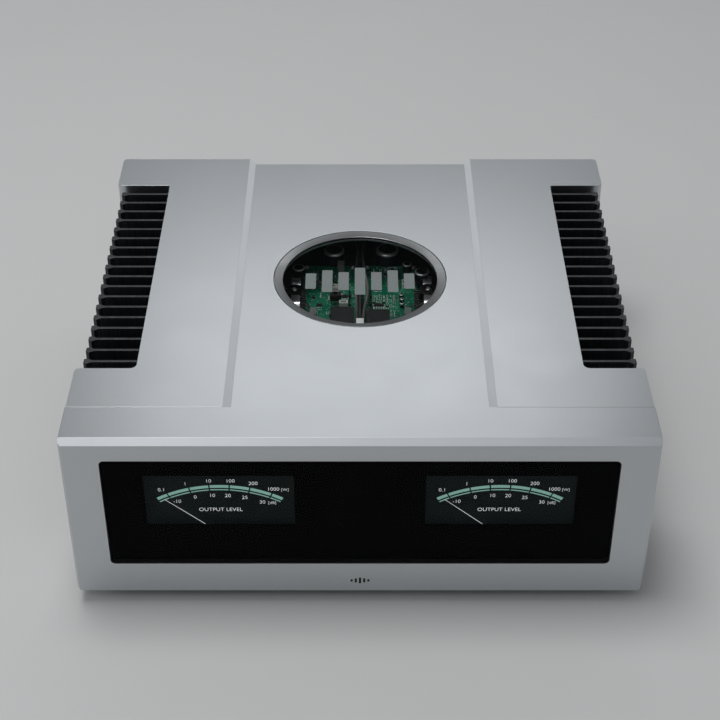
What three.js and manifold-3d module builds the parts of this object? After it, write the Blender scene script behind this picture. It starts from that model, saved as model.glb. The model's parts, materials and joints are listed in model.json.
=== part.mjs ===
// Stereo power amplifier: a wide aluminium case with two pointer meters behind a black window,
// open heat sinks down both sides and a round glass porthole in the lid.
// Millimetres, +X right, +Y to the rear, +Z up. The origin is on the floor under the middle.
import * as THREE from 'three';
import { mergeVertices } from 'three/addons/utils/BufferGeometryUtils.js';
import Module from 'manifold-3d';

const wasm = await Module();
wasm.setup();

// Driving dimensions
const overall = { width: 460, depth: 460, height: 170 };
const gap = 0.3; // between pieces that touch
const footHeight = 12.4;
const frontDepth = 41.5; // front panel, front to back
const caseDepth = 429.4; // front face to the back of the lid, without the terminals
const coverHalf = 229.2; // half width of lid and cheeks
const lidThick = 12;
const lidStep = 5.7; // how far the middle of the lid is sunk
const lidTroughTop = 107; // half width of the trough at its upper edge
const sinkBack = 180; // where the fins start, from the middle plane
const sinkReach = 224; // where the fins end
const notchFront = 92.1; // the open stretch of the sides, behind the front face
const notchRear = 379.1;
const sheet = 3; // base and rear panel thickness

const front = -overall.depth / 2;
const panelBack = front + frontDepth;
const caseFront = panelBack + gap;
const caseBack = front + caseDepth;
const bottom = footHeight;
const top = overall.height;
const lidUnder = top - lidThick;
const troughFloor = top - lidStep;
const floorTop = bottom + sheet;
const wallLow = floorTop + gap;
const wallHigh = lidUnder - gap;
const notch = { front: front + notchFront, rear: front + notchRear };

const porthole = {
  y: 2.1, hole: 75.7, ledge: 68.6, seat: lidUnder + 2.1,
  ringOut: 75.1, ringIn: 67.6, ringDrop: 1.4, glass: 72.4,
};
const dial = { x: 110.4, pivot: bottom + 52.2, low: bottom + 44, high: bottom + 118, half: 63 };
const opening = { half: 200.4, low: bottom + 29.9, high: bottom + 137.7, lip: 5.5 };
const maskFront = front + 8.1;
const dialFace = front + 12.6;
const needle = { y: front + 10.9, reach: 57.3, rest: 139.8, tail: 9 };

const shelf = { low: 108, high: 110, half: 158, front: -100, rear: 130 };

const sides = [['left', -1], ['right', 1]];

// Shaping helpers

function volumeOf(places, triangles) {
  const corner = (i) => new THREE.Vector3().fromArray(places, 3 * triangles[i]);
  let six = 0;
  for (let i = 0; i < triangles.length; i += 3) {
    six += corner(i).dot(corner(i + 1).cross(corner(i + 2)));
  }
  return six / 6;
}

// A closed body from a three.js geometry. A lathe drawn downwards is inside out, so it is turned.
function solid(geometry) {
  geometry.deleteAttribute('normal');
  geometry.deleteAttribute('uv');
  const merged = mergeVertices(geometry, 1e-4);
  const places = merged.getAttribute('position').array;
  const index = merged.index.array;
  const triangles = [];
  for (let i = 0; i < index.length; i += 3) {
    const [a, b, c] = [index[i], index[i + 1], index[i + 2]];
    if (a !== b && b !== c && c !== a) triangles.push(a, b, c);
  }
  if (volumeOf(places, triangles) < 0) triangles.reverse();
  const vertProperties = new Float32Array(places);
  const triVerts = new Uint32Array(triangles);
  return new wasm.Manifold(new wasm.Mesh({ numProp: 3, vertProperties, triVerts }));
}

// An outline from corners [x, y, radius], each rounded by its own radius.
function rounded(corners, steps = 5) {
  const count = corners.length;
  const at = (i) => new THREE.Vector2(...corners[(i + count) % count]);
  return corners.flatMap(([x, y, radius = 0], i) => {
    if (radius === 0) return [[x, y]];
    const corner = at(i);
    const back = at(i - 1).sub(corner).normalize();
    const ahead = at(i + 1).sub(corner).normalize();
    const half = Math.acos(back.dot(ahead)) / 2;
    const middle = back.clone().add(ahead).normalize().multiplyScalar(radius / Math.sin(half)).add(corner);
    const start = back.multiplyScalar(radius / Math.tan(half)).add(corner).sub(middle);
    const end = ahead.multiplyScalar(radius / Math.tan(half)).add(corner).sub(middle);
    const sweep = Math.atan2(start.cross(end), start.dot(end));
    return Array.from({ length: steps + 1 }, (_, k) => {
      const spoke = start.clone().rotateAround(new THREE.Vector2(), (sweep * k) / steps);
      return [middle.x + spoke.x, middle.y + spoke.y];
    });
  });
}

function rectangle(x0, x1, y0, y1, radius = 0, steps = 5) {
  return rounded([[x0, y0, radius], [x1, y0, radius], [x1, y1, radius], [x0, y1, radius]], steps);
}

function prism(outline, length) {
  const shape = new THREE.Shape(outline.map(([x, y]) => new THREE.Vector2(x, y)));
  return new THREE.ExtrudeGeometry(shape, { depth: length, bevelEnabled: false, curveSegments: 1 });
}

// An outline in X and Y raised from z0 to z1.
function upright(outline, z0, z1) {
  return solid(prism(outline, z1 - z0).translate(0, 0, z0));
}

// An outline in X and Z drawn from y0 to y1.
function lengthwise(outline, y0, y1) {
  return solid(prism(outline, y1 - y0).rotateX(Math.PI / 2).translate(0, y1, 0));
}

// An outline in Y and Z drawn from x0 to x1.
function crosswise(outline, x0, x1) {
  const turn = new THREE.Matrix4().set(0, 0, 1, 0, 1, 0, 0, 0, 0, 1, 0, 0, 0, 0, 0, 1);
  return solid(prism(outline, x1 - x0).applyMatrix4(turn).translate(x0, 0, 0));
}

function block(x0, x1, y0, y1, z0, z1) {
  const box = new THREE.BoxGeometry(x1 - x0, y1 - y0, z1 - z0);
  return solid(box.translate((x0 + x1) / 2, (y0 + y1) / 2, (z0 + z1) / 2));
}

// A profile of [radius, height] turned about a vertical axis at x, y.
function turnedUp(profile, x, y, segments = 40) {
  const lathe = new THREE.LatheGeometry(profile.map(([r, h]) => new THREE.Vector2(r, h)), segments);
  return solid(lathe.rotateX(Math.PI / 2).translate(x, y, 0));
}

// A profile of [radius, y] turned about an axis along Y at x, z.
function turnedBack(profile, x, z, segments = 24) {
  const lathe = new THREE.LatheGeometry(profile.map(([r, y]) => new THREE.Vector2(r, y)), segments);
  return solid(lathe.translate(x, 0, z));
}

function drumUp(radius, z0, z1, x, y, segments) {
  return turnedUp([[0, z0], [radius, z0], [radius, z1], [0, z1]], x, y, segments);
}

function drumBack(radius, y0, y1, x, z, segments) {
  return turnedBack([[0, y0], [radius, y0], [radius, y1], [0, y1]], x, z, segments);
}

function joined(first, ...rest) {
  return rest.reduce((whole, piece) => whole.add(piece), first);
}

function cut(first, ...rest) {
  return rest.reduce((whole, piece) => whole.subtract(piece), first);
}

function shared(first, ...rest) {
  return rest.reduce((whole, piece) => whole.intersect(piece), first);
}

const group = new THREE.Group();

function place(name, body, finish) {
  const { vertProperties, triVerts } = body.getMesh();
  const geometry = new THREE.BufferGeometry();
  geometry.setAttribute('position', new THREE.BufferAttribute(vertProperties, 3));
  geometry.setIndex(new THREE.BufferAttribute(triVerts, 1));
  geometry.computeVertexNormals();
  const mesh = new THREE.Mesh(geometry, finish);
  mesh.name = name;
  group.add(mesh);
}

function finish(color, roughness, metalness, opacity = 1) {
  const see = opacity < 1;
  return new THREE.MeshStandardMaterial({ color, roughness, metalness, opacity, transparent: see });
}

// Finishes
const silver = finish(0xb4b8ba, 0.4, 1);
const finBlack = finish(0x2a2c2e, 0.5, 1);
const steel = finish(0x303234, 0.55, 0.9);
const ringSilver = finish(0x8f9295, 0.35, 1);
const smokedGlass = finish(0x0a0b0b, 0.08, 0, 0.4);
const clearGlass = finish(0xd5dedc, 0.05, 0, 0.25);
const maskBlack = finish(0x060707, 0.6, 0);
const dialBlack = finish(0x121615, 0.7, 0);
const needleWhite = finish(0xe8eceb, 0.5, 0);
const plastic = finish(0x141516, 0.45, 0);
const boardGreen = finish(0x0f5f3f, 0.45, 0);
const canSteel = finish(0x26282a, 0.4, 0.8);
const sleeve = finish(0x1b1d20, 0.35, 0);
const jacket = finish(0xb9bcb8, 0.5, 0);
const rubber = finish(0x151515, 0.85, 0);
const gold = finish(0xc9a045, 0.25, 1);
const nickel = finish(0xa9abad, 0.3, 1);

// Case

// The lid and the base share a plan: full width at both ends, narrow between the fins.
function shoulderPlan(waist, y0, y1) {
  const half = [
    [coverHalf, y0, 0.6], [coverHalf, notch.front, 4], [waist, notch.front, 5],
    [waist, notch.rear, 2], [coverHalf, notch.rear, 4], [coverHalf, y1, 4],
  ];
  const other = half.map(([x, y, radius]) => [-x, y, radius]).reverse();
  return rounded([...half, ...other]);
}

function frontPanel() {
  const bevel = 4.8;
  const chamfer = 1.9;
  const half = overall.width / 2;
  const face = rounded([[-half, bottom, 4.5], [half, bottom, 4.5], [half, top, 0.8], [-half, top, 0.8]]);
  const profile = [
    [front, bottom], [panelBack, bottom], [panelBack, top], [front + bevel, top], [front, top - bevel],
  ];
  const plan = [
    [-half + chamfer, front], [half - chamfer, front], [half, front + chamfer],
    [half, panelBack], [-half, panelBack], [-half, front + chamfer],
  ];
  const slab = shared(
    lengthwise(face, front, panelBack),
    crosswise(profile, -half, half),
    upright(plan, bottom, top),
  );
  const window = rectangle(-opening.half, opening.half, opening.low, opening.high, 4);
  return cut(
    slab,
    lengthwise(window, front - 1, front + opening.lip + 1),
    block(-213, 213, front + opening.lip, panelBack + 1, bottom + 8, top - 9),
  );
}

function lid() {
  const slope = lidTroughTop - lidStep;
  const profile = [
    [-coverHalf, lidUnder], [coverHalf, lidUnder], [coverHalf, top], [lidTroughTop, top],
    [slope, troughFloor], [-slope, troughFloor], [-lidTroughTop, top], [-coverHalf, top],
  ];
  return cut(
    shared(
      lengthwise(profile, caseFront, caseBack),
      upright(shoulderPlan(sinkBack, caseFront, caseBack), lidUnder, top),
    ),
    drumUp(porthole.hole, porthole.seat - gap, top, 0, porthole.y, 72),
    drumUp(porthole.ledge, lidUnder - 1, top, 0, porthole.y, 72),
  );
}

function base() {
  const plate = upright(shoulderPlan(sinkBack, caseFront, caseBack), bottom, floorTop);
  const slots = [];
  for (const x of [-140, -126, -112, 112, 126, 140]) {
    slots.push(upright(rectangle(x - 1.8, x + 1.8, 40, 130, 1.7, 2), bottom - 1, floorTop + 1));
  }
  return cut(plate, ...slots);
}

// A cheek closes the side at one end of the fins: an outer wall and a return towards the middle.
function cheek(side, end) {
  const wall = 6;
  const outer = coverHalf;
  const inner = 172;
  const near = end === 'front' ? caseFront : caseBack;
  const far = end === 'front' ? notch.front : notch.rear;
  const turn = far > near ? -wall : wall;
  const corners = [
    [outer, near, end === 'front' ? 0.6 : 4], [outer, far, 4], [inner, far],
    [inner, far + turn], [outer - wall, far + turn, 1], [outer - wall, near],
  ];
  const plan = rounded(corners.map(([x, y, radius]) => [side * x, y, radius]));
  return upright(plan, wallLow, wallHigh);
}

function heatsink(side) {
  const fins = 18;
  const pitch = 15.45;
  const first = front + 104.3;
  const root = 1.3; // half of the fin's thickness
  const flare = 3.7; // half of the tip's width
  const backPlate = 172;
  const corners = [[backPlate, notch.front + gap], [sinkBack, notch.front + gap]];
  for (let fin = 0; fin < fins; fin += 1) {
    const y = first + fin * pitch;
    corners.push(
      [sinkBack, y - root], [sinkReach - 6.5, y - root], [sinkReach - 2.6, y - flare],
      [sinkReach, y - flare + 1.2], [sinkReach, y + flare - 1.2], [sinkReach - 2.6, y + flare],
      [sinkReach - 6.5, y + root], [sinkBack, y + root],
    );
  }
  corners.push([sinkBack, notch.rear - gap], [backPlate, notch.rear - gap]);
  const comb = upright(corners.map(([x, y]) => [side * x, y]), wallLow, top - 2);
  const relief = side * (sinkBack + gap);
  const [x0, x1] = side > 0 ? [0, relief] : [relief, 0];
  const railInner = shelf.half - 4;
  const rail = side > 0 ? [railInner, backPlate + 1] : [-backPlate - 1, -railInner];
  return cut(
    joined(comb, block(...rail, shelf.front - 4, shelf.rear + 4, shelf.low - 5, shelf.low - gap)),
    block(x0, x1, front, caseBack, wallHigh, top),
  );
}

// Front: window, mask and meters

function windowGlass() {
  const inset = gap;
  const o = opening;
  const pane = rectangle(-o.half + inset, o.half - inset, o.low + inset, o.high - inset, 3.8);
  const flange = rectangle(-o.half - 6, o.half + 6, o.low - 6, o.high + 6, 5);
  const lipBack = front + o.lip;
  return joined(
    lengthwise(pane, front + 1.2, lipBack + 1.3),
    lengthwise(flange, lipBack + gap, lipBack + 1.3 + gap),
  );
}

function meterMask() {
  const sight = { half: 58.9, low: bottom + 64.8, high: bottom + 116 };
  const edge = { half: 210, low: bottom + 18, high: bottom + 146 };
  const outline = rectangle(-edge.half, edge.half, edge.low, edge.high, 4);
  const holes = sides.map(([, side]) => {
    const middle = side * dial.x;
    const hole = rectangle(middle - sight.half, middle + sight.half, sight.low, sight.high, 1.5, 3);
    return lengthwise(hole, maskFront - 1, maskFront + 2);
  });
  return cut(lengthwise(outline, maskFront, maskFront + 1.2), ...holes);
}

function dialPlate(x) {
  const outline = rectangle(x - dial.half, x + dial.half, dial.low, dial.high, 2, 3);
  const plate = lengthwise(outline, dialFace, dialFace + 1.5);
  return cut(plate, drumBack(2.6, dialFace - 1, dialFace + 2.5, x, dial.pivot, 16));
}

function meterMovement(x) {
  const back = dialFace + 1.5 + gap;
  const body = lengthwise(rectangle(x - 30, x + 30, bottom + 30, bottom + 84, 3, 3), back, back + 16);
  return joined(body, drumBack(19, back + 15, back + 19, x, dial.pivot + 2, 24));
}

function displayBoard() {
  const back = panelBack - 5.3;
  return block(-180, 180, back - 1.6, back, bottom + 30, bottom + 112);
}

// The pointer at rest: a tapered blade on a hub, with a balance tail.
function pointer(x) {
  const { tail, reach } = needle;
  const blade = [[-tail, 1.3], [-tail, -1.3], [0, -0.9], [reach, -0.28], [reach, 0.28], [0, 0.9]];
  const angle = THREE.MathUtils.degToRad(needle.rest);
  const turned = blade.map(([along, across]) => {
    const spot = new THREE.Vector2(along, across).rotateAround(new THREE.Vector2(), angle);
    return [x + spot.x, dial.pivot + spot.y];
  });
  const hub = turnedBack(
    [[0, needle.y - 0.6], [3.4, needle.y - 0.6], [3.4, needle.y + 0.8], [2.2, needle.y + 0.8],
      [2.2, dialFace + 1.4], [0, dialFace + 1.4]],
    x, dial.pivot, 14,
  );
  return joined(lengthwise(turned, needle.y, needle.y + 0.6), hub);
}

// Lid porthole

function portholeRing() {
  const { ringOut, ringIn, ringDrop, glass, seat, y } = porthole;
  const glassTop = seat + 2;
  const profile = [
    [ringIn, troughFloor - ringDrop], [ringOut, troughFloor], [ringOut, seat], [glass + 0.4, seat],
    [glass + 0.4, glassTop + gap], [ringIn, glassTop + gap], [ringIn, troughFloor - ringDrop],
  ];
  return turnedUp(profile, 0, y, 72);
}

function portholeGlass() {
  const { glass, seat, y } = porthole;
  return drumUp(glass, seat, seat + 2, 0, y, 48);
}

// Inside

const board = { low: 112.4, high: 114, middle: 28.3, half: 24.7, front: -62, rear: 96 };
const relay = { middle: 15.8, half: 10.6, long: 24, high: 127.4, front: { left: -14, right: -18 } };
const divider = { half: 0.8, front: -96, rear: 128, high: 127 };

const transformerSide = 82;
const capSides = [-97, -48, 48, 97];

function transformer(x) {
  const [y, radius, low, high] = [-78, 60, wallLow, 86];
  const profile = [
    [0, low], [radius, low], [radius, high - 7], [radius - 2, high - 2], [radius - 7, high],
    [12, high], [12, high + 3], [0, high + 3],
  ];
  return turnedUp(profile, x, y, 32);
}

function reservoirCap(x) {
  const [y, radius, low, high] = [78, 22, wallLow, 96];
  const profile = [
    [0, low], [radius, low], [radius, high - 1.5], [radius - 1.5, high], [0, high],
  ];
  return turnedUp(profile, x, y, 24);
}

function mezzanine() {
  return block(-shelf.half, shelf.half, shelf.front, shelf.rear, shelf.low, shelf.high);
}

function dividerPlate() {
  return block(-divider.half, divider.half, divider.front, divider.rear, shelf.high + gap, divider.high);
}

function ampBoard(side) {
  const [x0, x1] = [side * board.middle - board.half, side * board.middle + board.half];
  return upright(rectangle(x0, x1, board.front, board.rear, 1, 2), board.low, board.high);
}

function relayBlock(name, side) {
  const [x0, x1] = [side * relay.middle - relay.half, side * relay.middle + relay.half];
  const y0 = relay.front[name];
  return upright(rectangle(x0, x1, y0, y0 + relay.long, 0.8, 2), board.high + gap, relay.high);
}

// The input leads leave the input board, lie along both sides of the divider and dive to the front.
// Each one's own lane is [distance from the divider, y]: the right one bows out beside its relay.
const cables = {
  left: {
    radius: 1.15,
    lane: [[2.4, 112], [3, 88], [3.5, 66], [3.5, 26], [2.9, 4], [2.75, -50], [2.75, -84]],
  },
  right: {
    radius: 1.5,
    lane: [
      [2.8, 112], [3, 90], [4.9, 68], [6.8, 50], [6.5, 33], [4.3, 17], [3.1, 4], [3.1, -50], [3.1, -84],
    ],
  },
};

function signalCable(name, side) {
  const { radius, lane } = cables[name];
  const laneHigh = 123;
  const route = [
    [30, 179.2, 116], [29, 172, 116.5], [24, 158, 118], [13, 144, 120.5], [5.4, 131, 122.4],
    ...lane.map(([x, y]) => [x, y, laneHigh]), [4.6, -102, 122.5],
    [8.5, -120, 120.5], [20, -150, 113], [33, -176, 107], [38, -187, 106], [38, -193.2, 106],
  ];
  const curve = new THREE.CatmullRomCurve3(route.map(([x, y, z]) => new THREE.Vector3(side * x, y, z)));
  const corners = 8;
  const ring = Array.from({ length: corners }, (_, k) => {
    const angle = (2 * Math.PI * k) / corners;
    return new THREE.Vector2(radius * Math.cos(angle), radius * Math.sin(angle));
  });
  const sweep = { steps: 48, extrudePath: curve, curveSegments: 1 };
  return solid(new THREE.ExtrudeGeometry(new THREE.Shape(ring), sweep));
}

// Rear panel and its connectors

const rear = { face: caseBack + gap, panel: caseBack - sheet };
const posts = { z: 60, at: [-141, -110, 110, 141], tip: overall.depth / 2 };
const xlr = { x: 58, z: 126 };
const rca = { x: 10, z: 126 };
const inlet = { half: 17.2, low: 29.3, high: 92.7, back: 176 };

function rearPanel() {
  const plate = block(-coverHalf + 6 + gap, coverHalf - 6 - gap, rear.panel, caseBack, wallLow, wallHigh);
  const through = [rear.panel - 1, caseBack + 1];
  const holes = [
    block(-inlet.half - gap, inlet.half + gap, ...through, inlet.low - gap, inlet.high + gap),
    lengthwise(rectangle(-17.5, 17.5, rca.z - 8, rca.z + 8), ...through),
    ...posts.at.map((x) => drumBack(5.4, ...through, x, posts.z, 14)),
    ...[-xlr.x, xlr.x].map((x) => drumBack(12.2, ...through, x, xlr.z, 20)),
    ...[-xlr.x, xlr.x].map((x) => block(x - 3.6, x + 3.6, ...through, xlr.z, xlr.z + 14.6)),
  ];
  return cut(plate, ...holes);
}

function inputBoard() {
  return lengthwise(rectangle(-84, 84, 100, 152, 2, 3), 179.9, 181.5);
}

function postBase(x) {
  const face = rear.face;
  const profile = [
    [0, rear.panel - 9], [3, rear.panel - 9], [3, rear.panel - 4], [5, rear.panel - 4], [5, face],
    [9.5, face], [9.5, face + 3], [3, face + 3], [3, posts.tip - 6], [2.1, posts.tip - 6],
    [2.1, face + 6], [0, face + 6],
  ];
  return turnedBack(profile, x, posts.z, 14);
}

function clampCollar(x) {
  const y = rear.face + 3 + gap;
  const profile = [[3.35, y], [8.2, y], [8.2, y + 2], [3.35, y + 2], [3.35, y]];
  return turnedBack(profile, x, posts.z, 14);
}

function postKnob(x) {
  const y = rear.face + 5 + 2 * gap;
  const { tip } = posts;
  const profile = [
    [3.35, y], [8, y], [8, y + 2.4], [9.4, y + 3.4], [9.4, tip - 1.4], [8, tip], [3.35, tip], [3.35, y],
  ];
  return turnedBack(profile, x, posts.z, 16);
}

function xlrSocket(x) {
  const { face } = rear;
  const plate = cut(
    lengthwise(rectangle(x - 13, x + 13, xlr.z - 15.5, xlr.z + 15.5, 2.5, 3), face, face + 2.2),
    drumBack(10.8, face - 1, face + 3, x, xlr.z, 20),
  );
  const collar = turnedBack(
    [[0, 181.8], [11.7, 181.8], [11.7, face + 4], [9.9, face + 4], [9.9, face - 9], [8.5, face - 9],
      [8.5, face + 3], [0, face + 3]],
    x, xlr.z, 20,
  );
  const pins = [90, 210, 330].map((degrees) => {
    const angle = THREE.MathUtils.degToRad(degrees);
    return drumBack(1.3, face - 7, face + 4, x + 4.4 * Math.cos(angle), xlr.z - 4.4 * Math.sin(angle), 6);
  });
  const tabSlot = block(x - 3.2, x + 3.2, face - 6, face + 5, xlr.z + 10, xlr.z + 14.3);
  return cut(joined(plate, collar), ...pins, tabSlot);
}

function xlrLatch(x) {
  const { face } = rear;
  const profile = [
    [face - 2, xlr.z + 10.3], [face + 5.8, xlr.z + 10.3], [face + 6.6, xlr.z + 11],
    [face + 5.2, xlr.z + 14], [face - 2, xlr.z + 14],
  ];
  return crosswise(profile, x - 2.9, x + 2.9);
}

function rcaBlock() {
  const { face } = rear;
  const plate = lengthwise(rectangle(-21, 21, rca.z - 11, rca.z + 11, 2, 3), face, face + 2);
  const body = lengthwise(rectangle(-17.2, 17.2, rca.z - 7.7, rca.z + 7.7, 1.7, 3), 181.8, face + 1);
  const jacks = [-1, 1].map((side) => turnedBack(
    [[1.7, face + 1], [6, face + 1], [6, face + 3.4], [4.15, face + 3.4], [4.15, face + 11.2],
      [1.7, face + 11.2], [1.7, face + 1]],
    side * rca.x, rca.z, 14,
  ));
  const wells = [-1, 1].map((side) => drumBack(1.7, face - 5, face + 3, side * rca.x, rca.z, 14));
  return joined(cut(joined(plate, body), ...wells), ...jacks);
}

// Mains module: the inlet below, the fuse drawer over it and the rocker switch on top.
const socket = { half: 13.5, low: 33, high: 52.5, floor: 187 };
const drawer = { half: 11.2, low: 57.3, high: 64.4, back: 181, front: 203.6 };
const rocker = { half: 6.6, y: 199.6, z: 80.6, tilt: 12 };

function inletModule() {
  const { face } = rear;
  const flange = lengthwise(rectangle(-20.5, 20.5, 26, 96, 3, 4), face, face + 3);
  const body = block(-inlet.half, inlet.half, inlet.back, face + 1, inlet.low, inlet.high);
  const s = socket;
  const cavity = rounded([
    [-s.half, s.low, 1], [s.half, s.low, 1], [s.half, s.high - 5],
    [s.half - 5, s.high], [-s.half + 5, s.high], [-s.half, s.high - 5],
  ], 3);
  const bay = { half: drawer.half + gap, low: drawer.low - gap, high: drawer.high + gap };
  const shell = cut(
    joined(flange, body),
    lengthwise(cavity, s.floor, face + 4),
    block(-bay.half, bay.half, drawer.back - gap, face + 4, bay.low, bay.high),
    block(-rocker.half - gap, rocker.half + gap, 188, face + 4, rocker.z - 10.5, rocker.z + 10.5),
  );
  const blades = [[-7, 40], [7, 40], [0, 44]].map(([x, z]) => (
    block(x - 1, x + 1, s.floor - 1, 199, z - 2, z + 2)
  ));
  return joined(shell, ...blades);
}

function fuseDrawer() {
  const d = drawer;
  const grip = block(-4, 4, d.front - 1, d.front + 1.5, d.low + 1, d.low + 2.4);
  return joined(block(-d.half, d.half, d.back, d.front, d.low, d.high), grip);
}

function mainsRocker() {
  const tilt = -THREE.MathUtils.degToRad(rocker.tilt);
  const shape = [[4, 9.2], [2.3, 0], [4, -9.2], [-3.6, -7.8], [-3.6, 7.8]];
  const profile = shape.map(([out, up]) => {
    const spot = new THREE.Vector2(out, up).rotateAround(new THREE.Vector2(), tilt);
    return [rocker.y + spot.x, rocker.z + spot.y];
  });
  return crosswise(profile, -rocker.half, rocker.half);
}

// Feet

function foot(x, y) {
  const up = bottom - gap;
  const profile = [
    [0, 0], [16, 0], [16, 3], [20, 3], [20, up], [0, up],
  ];
  return turnedUp(profile, x, y, 28);
}

// Assembly

place('base_pan', base(), steel);
place('rear_panel', rearPanel(), steel);
place('front_panel', frontPanel(), silver);
place('top_plate', lid(), silver);
for (const [name, side] of sides) {
  place(`cheek_front_${name}`, cheek(side, 'front'), silver);
  place(`cheek_rear_${name}`, cheek(side, 'rear'), silver);
  place(`heatsink_${name}`, heatsink(side), finBlack);
}

place('front_window', windowGlass(), smokedGlass);
place('meter_mask', meterMask(), maskBlack);
place('display_board', displayBoard(), boardGreen);
for (const [name, side] of sides) {
  const x = side * dial.x;
  place(`dial_plate_${name}`, dialPlate(x), dialBlack);
  place(`meter_movement_${name}`, meterMovement(x), plastic);
  place(`needle_${name}`, pointer(x), needleWhite);
}

place('porthole_ring', portholeRing(), ringSilver);
place('porthole_glass', portholeGlass(), clearGlass);
place('mezzanine_plate', mezzanine(), steel);
place('center_divider', dividerPlate(), steel);
for (const [name, side] of sides) {
  place(`amp_board_${name}`, ampBoard(side), boardGreen);
  place(`relay_${name}`, relayBlock(name, side), plastic);
  place(`transformer_${name}`, transformer(side * transformerSide), canSteel);
  place(`signal_cable_${name}`, signalCable(name, side), jacket);
}
capSides.forEach((x, i) => place(`reservoir_cap_${i + 1}`, reservoirCap(x), sleeve));

place('input_board', inputBoard(), boardGreen);
place('inlet_module', inletModule(), plastic);
place('fuse_drawer', fuseDrawer(), plastic);
place('mains_rocker', mainsRocker(), plastic);
place('rca_block', rcaBlock(), nickel);
for (const [name, side] of sides) {
  place(`xlr_socket_${name}`, xlrSocket(side * xlr.x), nickel);
  place(`xlr_latch_${name}`, xlrLatch(side * xlr.x), plastic);
}
posts.at.forEach((x, i) => {
  place(`post_base_${i + 1}`, postBase(x), gold);
  place(`clamp_collar_${i + 1}`, clampCollar(x), gold);
  place(`post_knob_${i + 1}`, postKnob(x), gold);
});

const footSpots = [[-186, -161], [186, -161], [-186, 174], [186, 174]];
footSpots.forEach(([x, y], i) => place(`foot_${i + 1}`, foot(x, y), rubber));

export default group;
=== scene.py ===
import json
import math
import random

import bmesh
import bpy
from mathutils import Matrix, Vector

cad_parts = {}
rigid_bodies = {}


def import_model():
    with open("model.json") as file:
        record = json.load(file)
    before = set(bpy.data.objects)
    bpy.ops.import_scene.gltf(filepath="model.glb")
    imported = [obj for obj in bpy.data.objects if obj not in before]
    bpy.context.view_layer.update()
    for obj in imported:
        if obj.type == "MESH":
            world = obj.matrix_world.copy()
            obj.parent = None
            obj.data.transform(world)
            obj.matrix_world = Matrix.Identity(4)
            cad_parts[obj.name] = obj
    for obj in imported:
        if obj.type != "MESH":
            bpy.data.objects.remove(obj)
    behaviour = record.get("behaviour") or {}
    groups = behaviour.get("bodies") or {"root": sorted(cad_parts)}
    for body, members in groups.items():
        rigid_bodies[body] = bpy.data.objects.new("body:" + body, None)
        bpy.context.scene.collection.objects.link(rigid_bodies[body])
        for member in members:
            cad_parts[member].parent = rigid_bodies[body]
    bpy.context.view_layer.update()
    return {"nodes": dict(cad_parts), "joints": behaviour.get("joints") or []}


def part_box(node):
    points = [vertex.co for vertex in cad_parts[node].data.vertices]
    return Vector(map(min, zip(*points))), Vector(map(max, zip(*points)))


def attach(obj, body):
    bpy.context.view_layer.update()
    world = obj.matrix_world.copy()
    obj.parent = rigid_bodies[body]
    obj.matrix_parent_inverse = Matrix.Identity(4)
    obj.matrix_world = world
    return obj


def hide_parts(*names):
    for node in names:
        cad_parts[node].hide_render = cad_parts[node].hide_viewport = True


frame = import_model()
chance = random.Random(7)
mm = 0.001
print("frame loaded:", len(frame["nodes"]), "nodes")


# measuring and mesh helpers, all in millimetres

def spanOf(node):
    low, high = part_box(node)
    return low / mm, high / mm


def middleOf(node):
    low, high = spanOf(node)
    return (low + high) / 2


def around(middle, width):
    return middle - width / 2, middle + width / 2


def spot(axis, centre, across, up, along):
    # along runs with the axis, across and up lie square to it
    x, y, z = centre
    if axis == "z":
        return x + across, y + up, z + along
    if axis == "y":
        return x + across, y + along, z + up
    return x + along, y + across, z + up


def addBlock(bm, x, y, z, ink=0):
    corners = [bm.verts.new((x[i], y[j], z[k])) for k in (0, 1) for j in (0, 1) for i in (0, 1)]
    for loop in ((0, 2, 3, 1), (4, 5, 7, 6), (0, 1, 5, 4), (2, 6, 7, 3), (0, 4, 6, 2), (1, 3, 7, 5)):
        bm.faces.new([corners[i] for i in loop]).material_index = ink


def addPrism(bm, outline, low, high, axis="z", centre=(0, 0, 0), ink=0):
    near = [bm.verts.new(spot(axis, centre, u, v, low)) for u, v in outline]
    far = [bm.verts.new(spot(axis, centre, u, v, high)) for u, v in outline]
    sides = [(near[i - 1], near[i], far[i], far[i - 1]) for i in range(len(outline))]
    for loop in [near[::-1], far, *sides]:
        bm.faces.new(loop).material_index = ink


def addLathe(bm, profile, centre, axis="z", steps=48, ink=0):
    # profile rows are (radius, height) or (radius, height, shape), turned once round the axis
    rings = []
    for radius, height, *shape in profile:
        if radius < 1e-6:
            rings.append([bm.verts.new(spot(axis, centre, 0, 0, height))])
            continue
        ring = []
        for i in range(steps):
            angle = 2 * math.pi * i / steps
            reach = radius * (shape[0](angle) if shape else 1)
            across, up = reach * math.cos(angle), reach * math.sin(angle)
            ring.append(bm.verts.new(spot(axis, centre, across, up, height)))
        rings.append(ring)
    for lower, upper in zip(rings, rings[1:]):
        for i in range(steps):
            below = lower if len(lower) == 1 else [lower[i - 1], lower[i]]
            above = upper if len(upper) == 1 else [upper[i], upper[i - 1]]
            bm.faces.new([*below, *above]).material_index = ink


def addTube(bm, points, radius, sides=10, ink=0):
    path = [Vector(point) for point in points]
    guide = Vector((0.31, 0.22, 0.93))
    rings = []
    for i, point in enumerate(path):
        ahead = (path[min(i + 1, len(path) - 1)] - path[max(i - 1, 0)]).normalized()
        side = ahead.cross(guide).normalized()
        up = side.cross(ahead)
        turn = [2 * math.pi * k / sides for k in range(sides)]
        rings.append([bm.verts.new(point + radius * (math.cos(a) * side + math.sin(a) * up)) for a in turn])
    for lower, upper in zip(rings, rings[1:]):
        for k in range(sides):
            bm.faces.new((lower[k - 1], lower[k], upper[k], upper[k - 1])).material_index = ink
    for cap in (rings[0][::-1], rings[-1]):
        bm.faces.new(cap).material_index = ink


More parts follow.
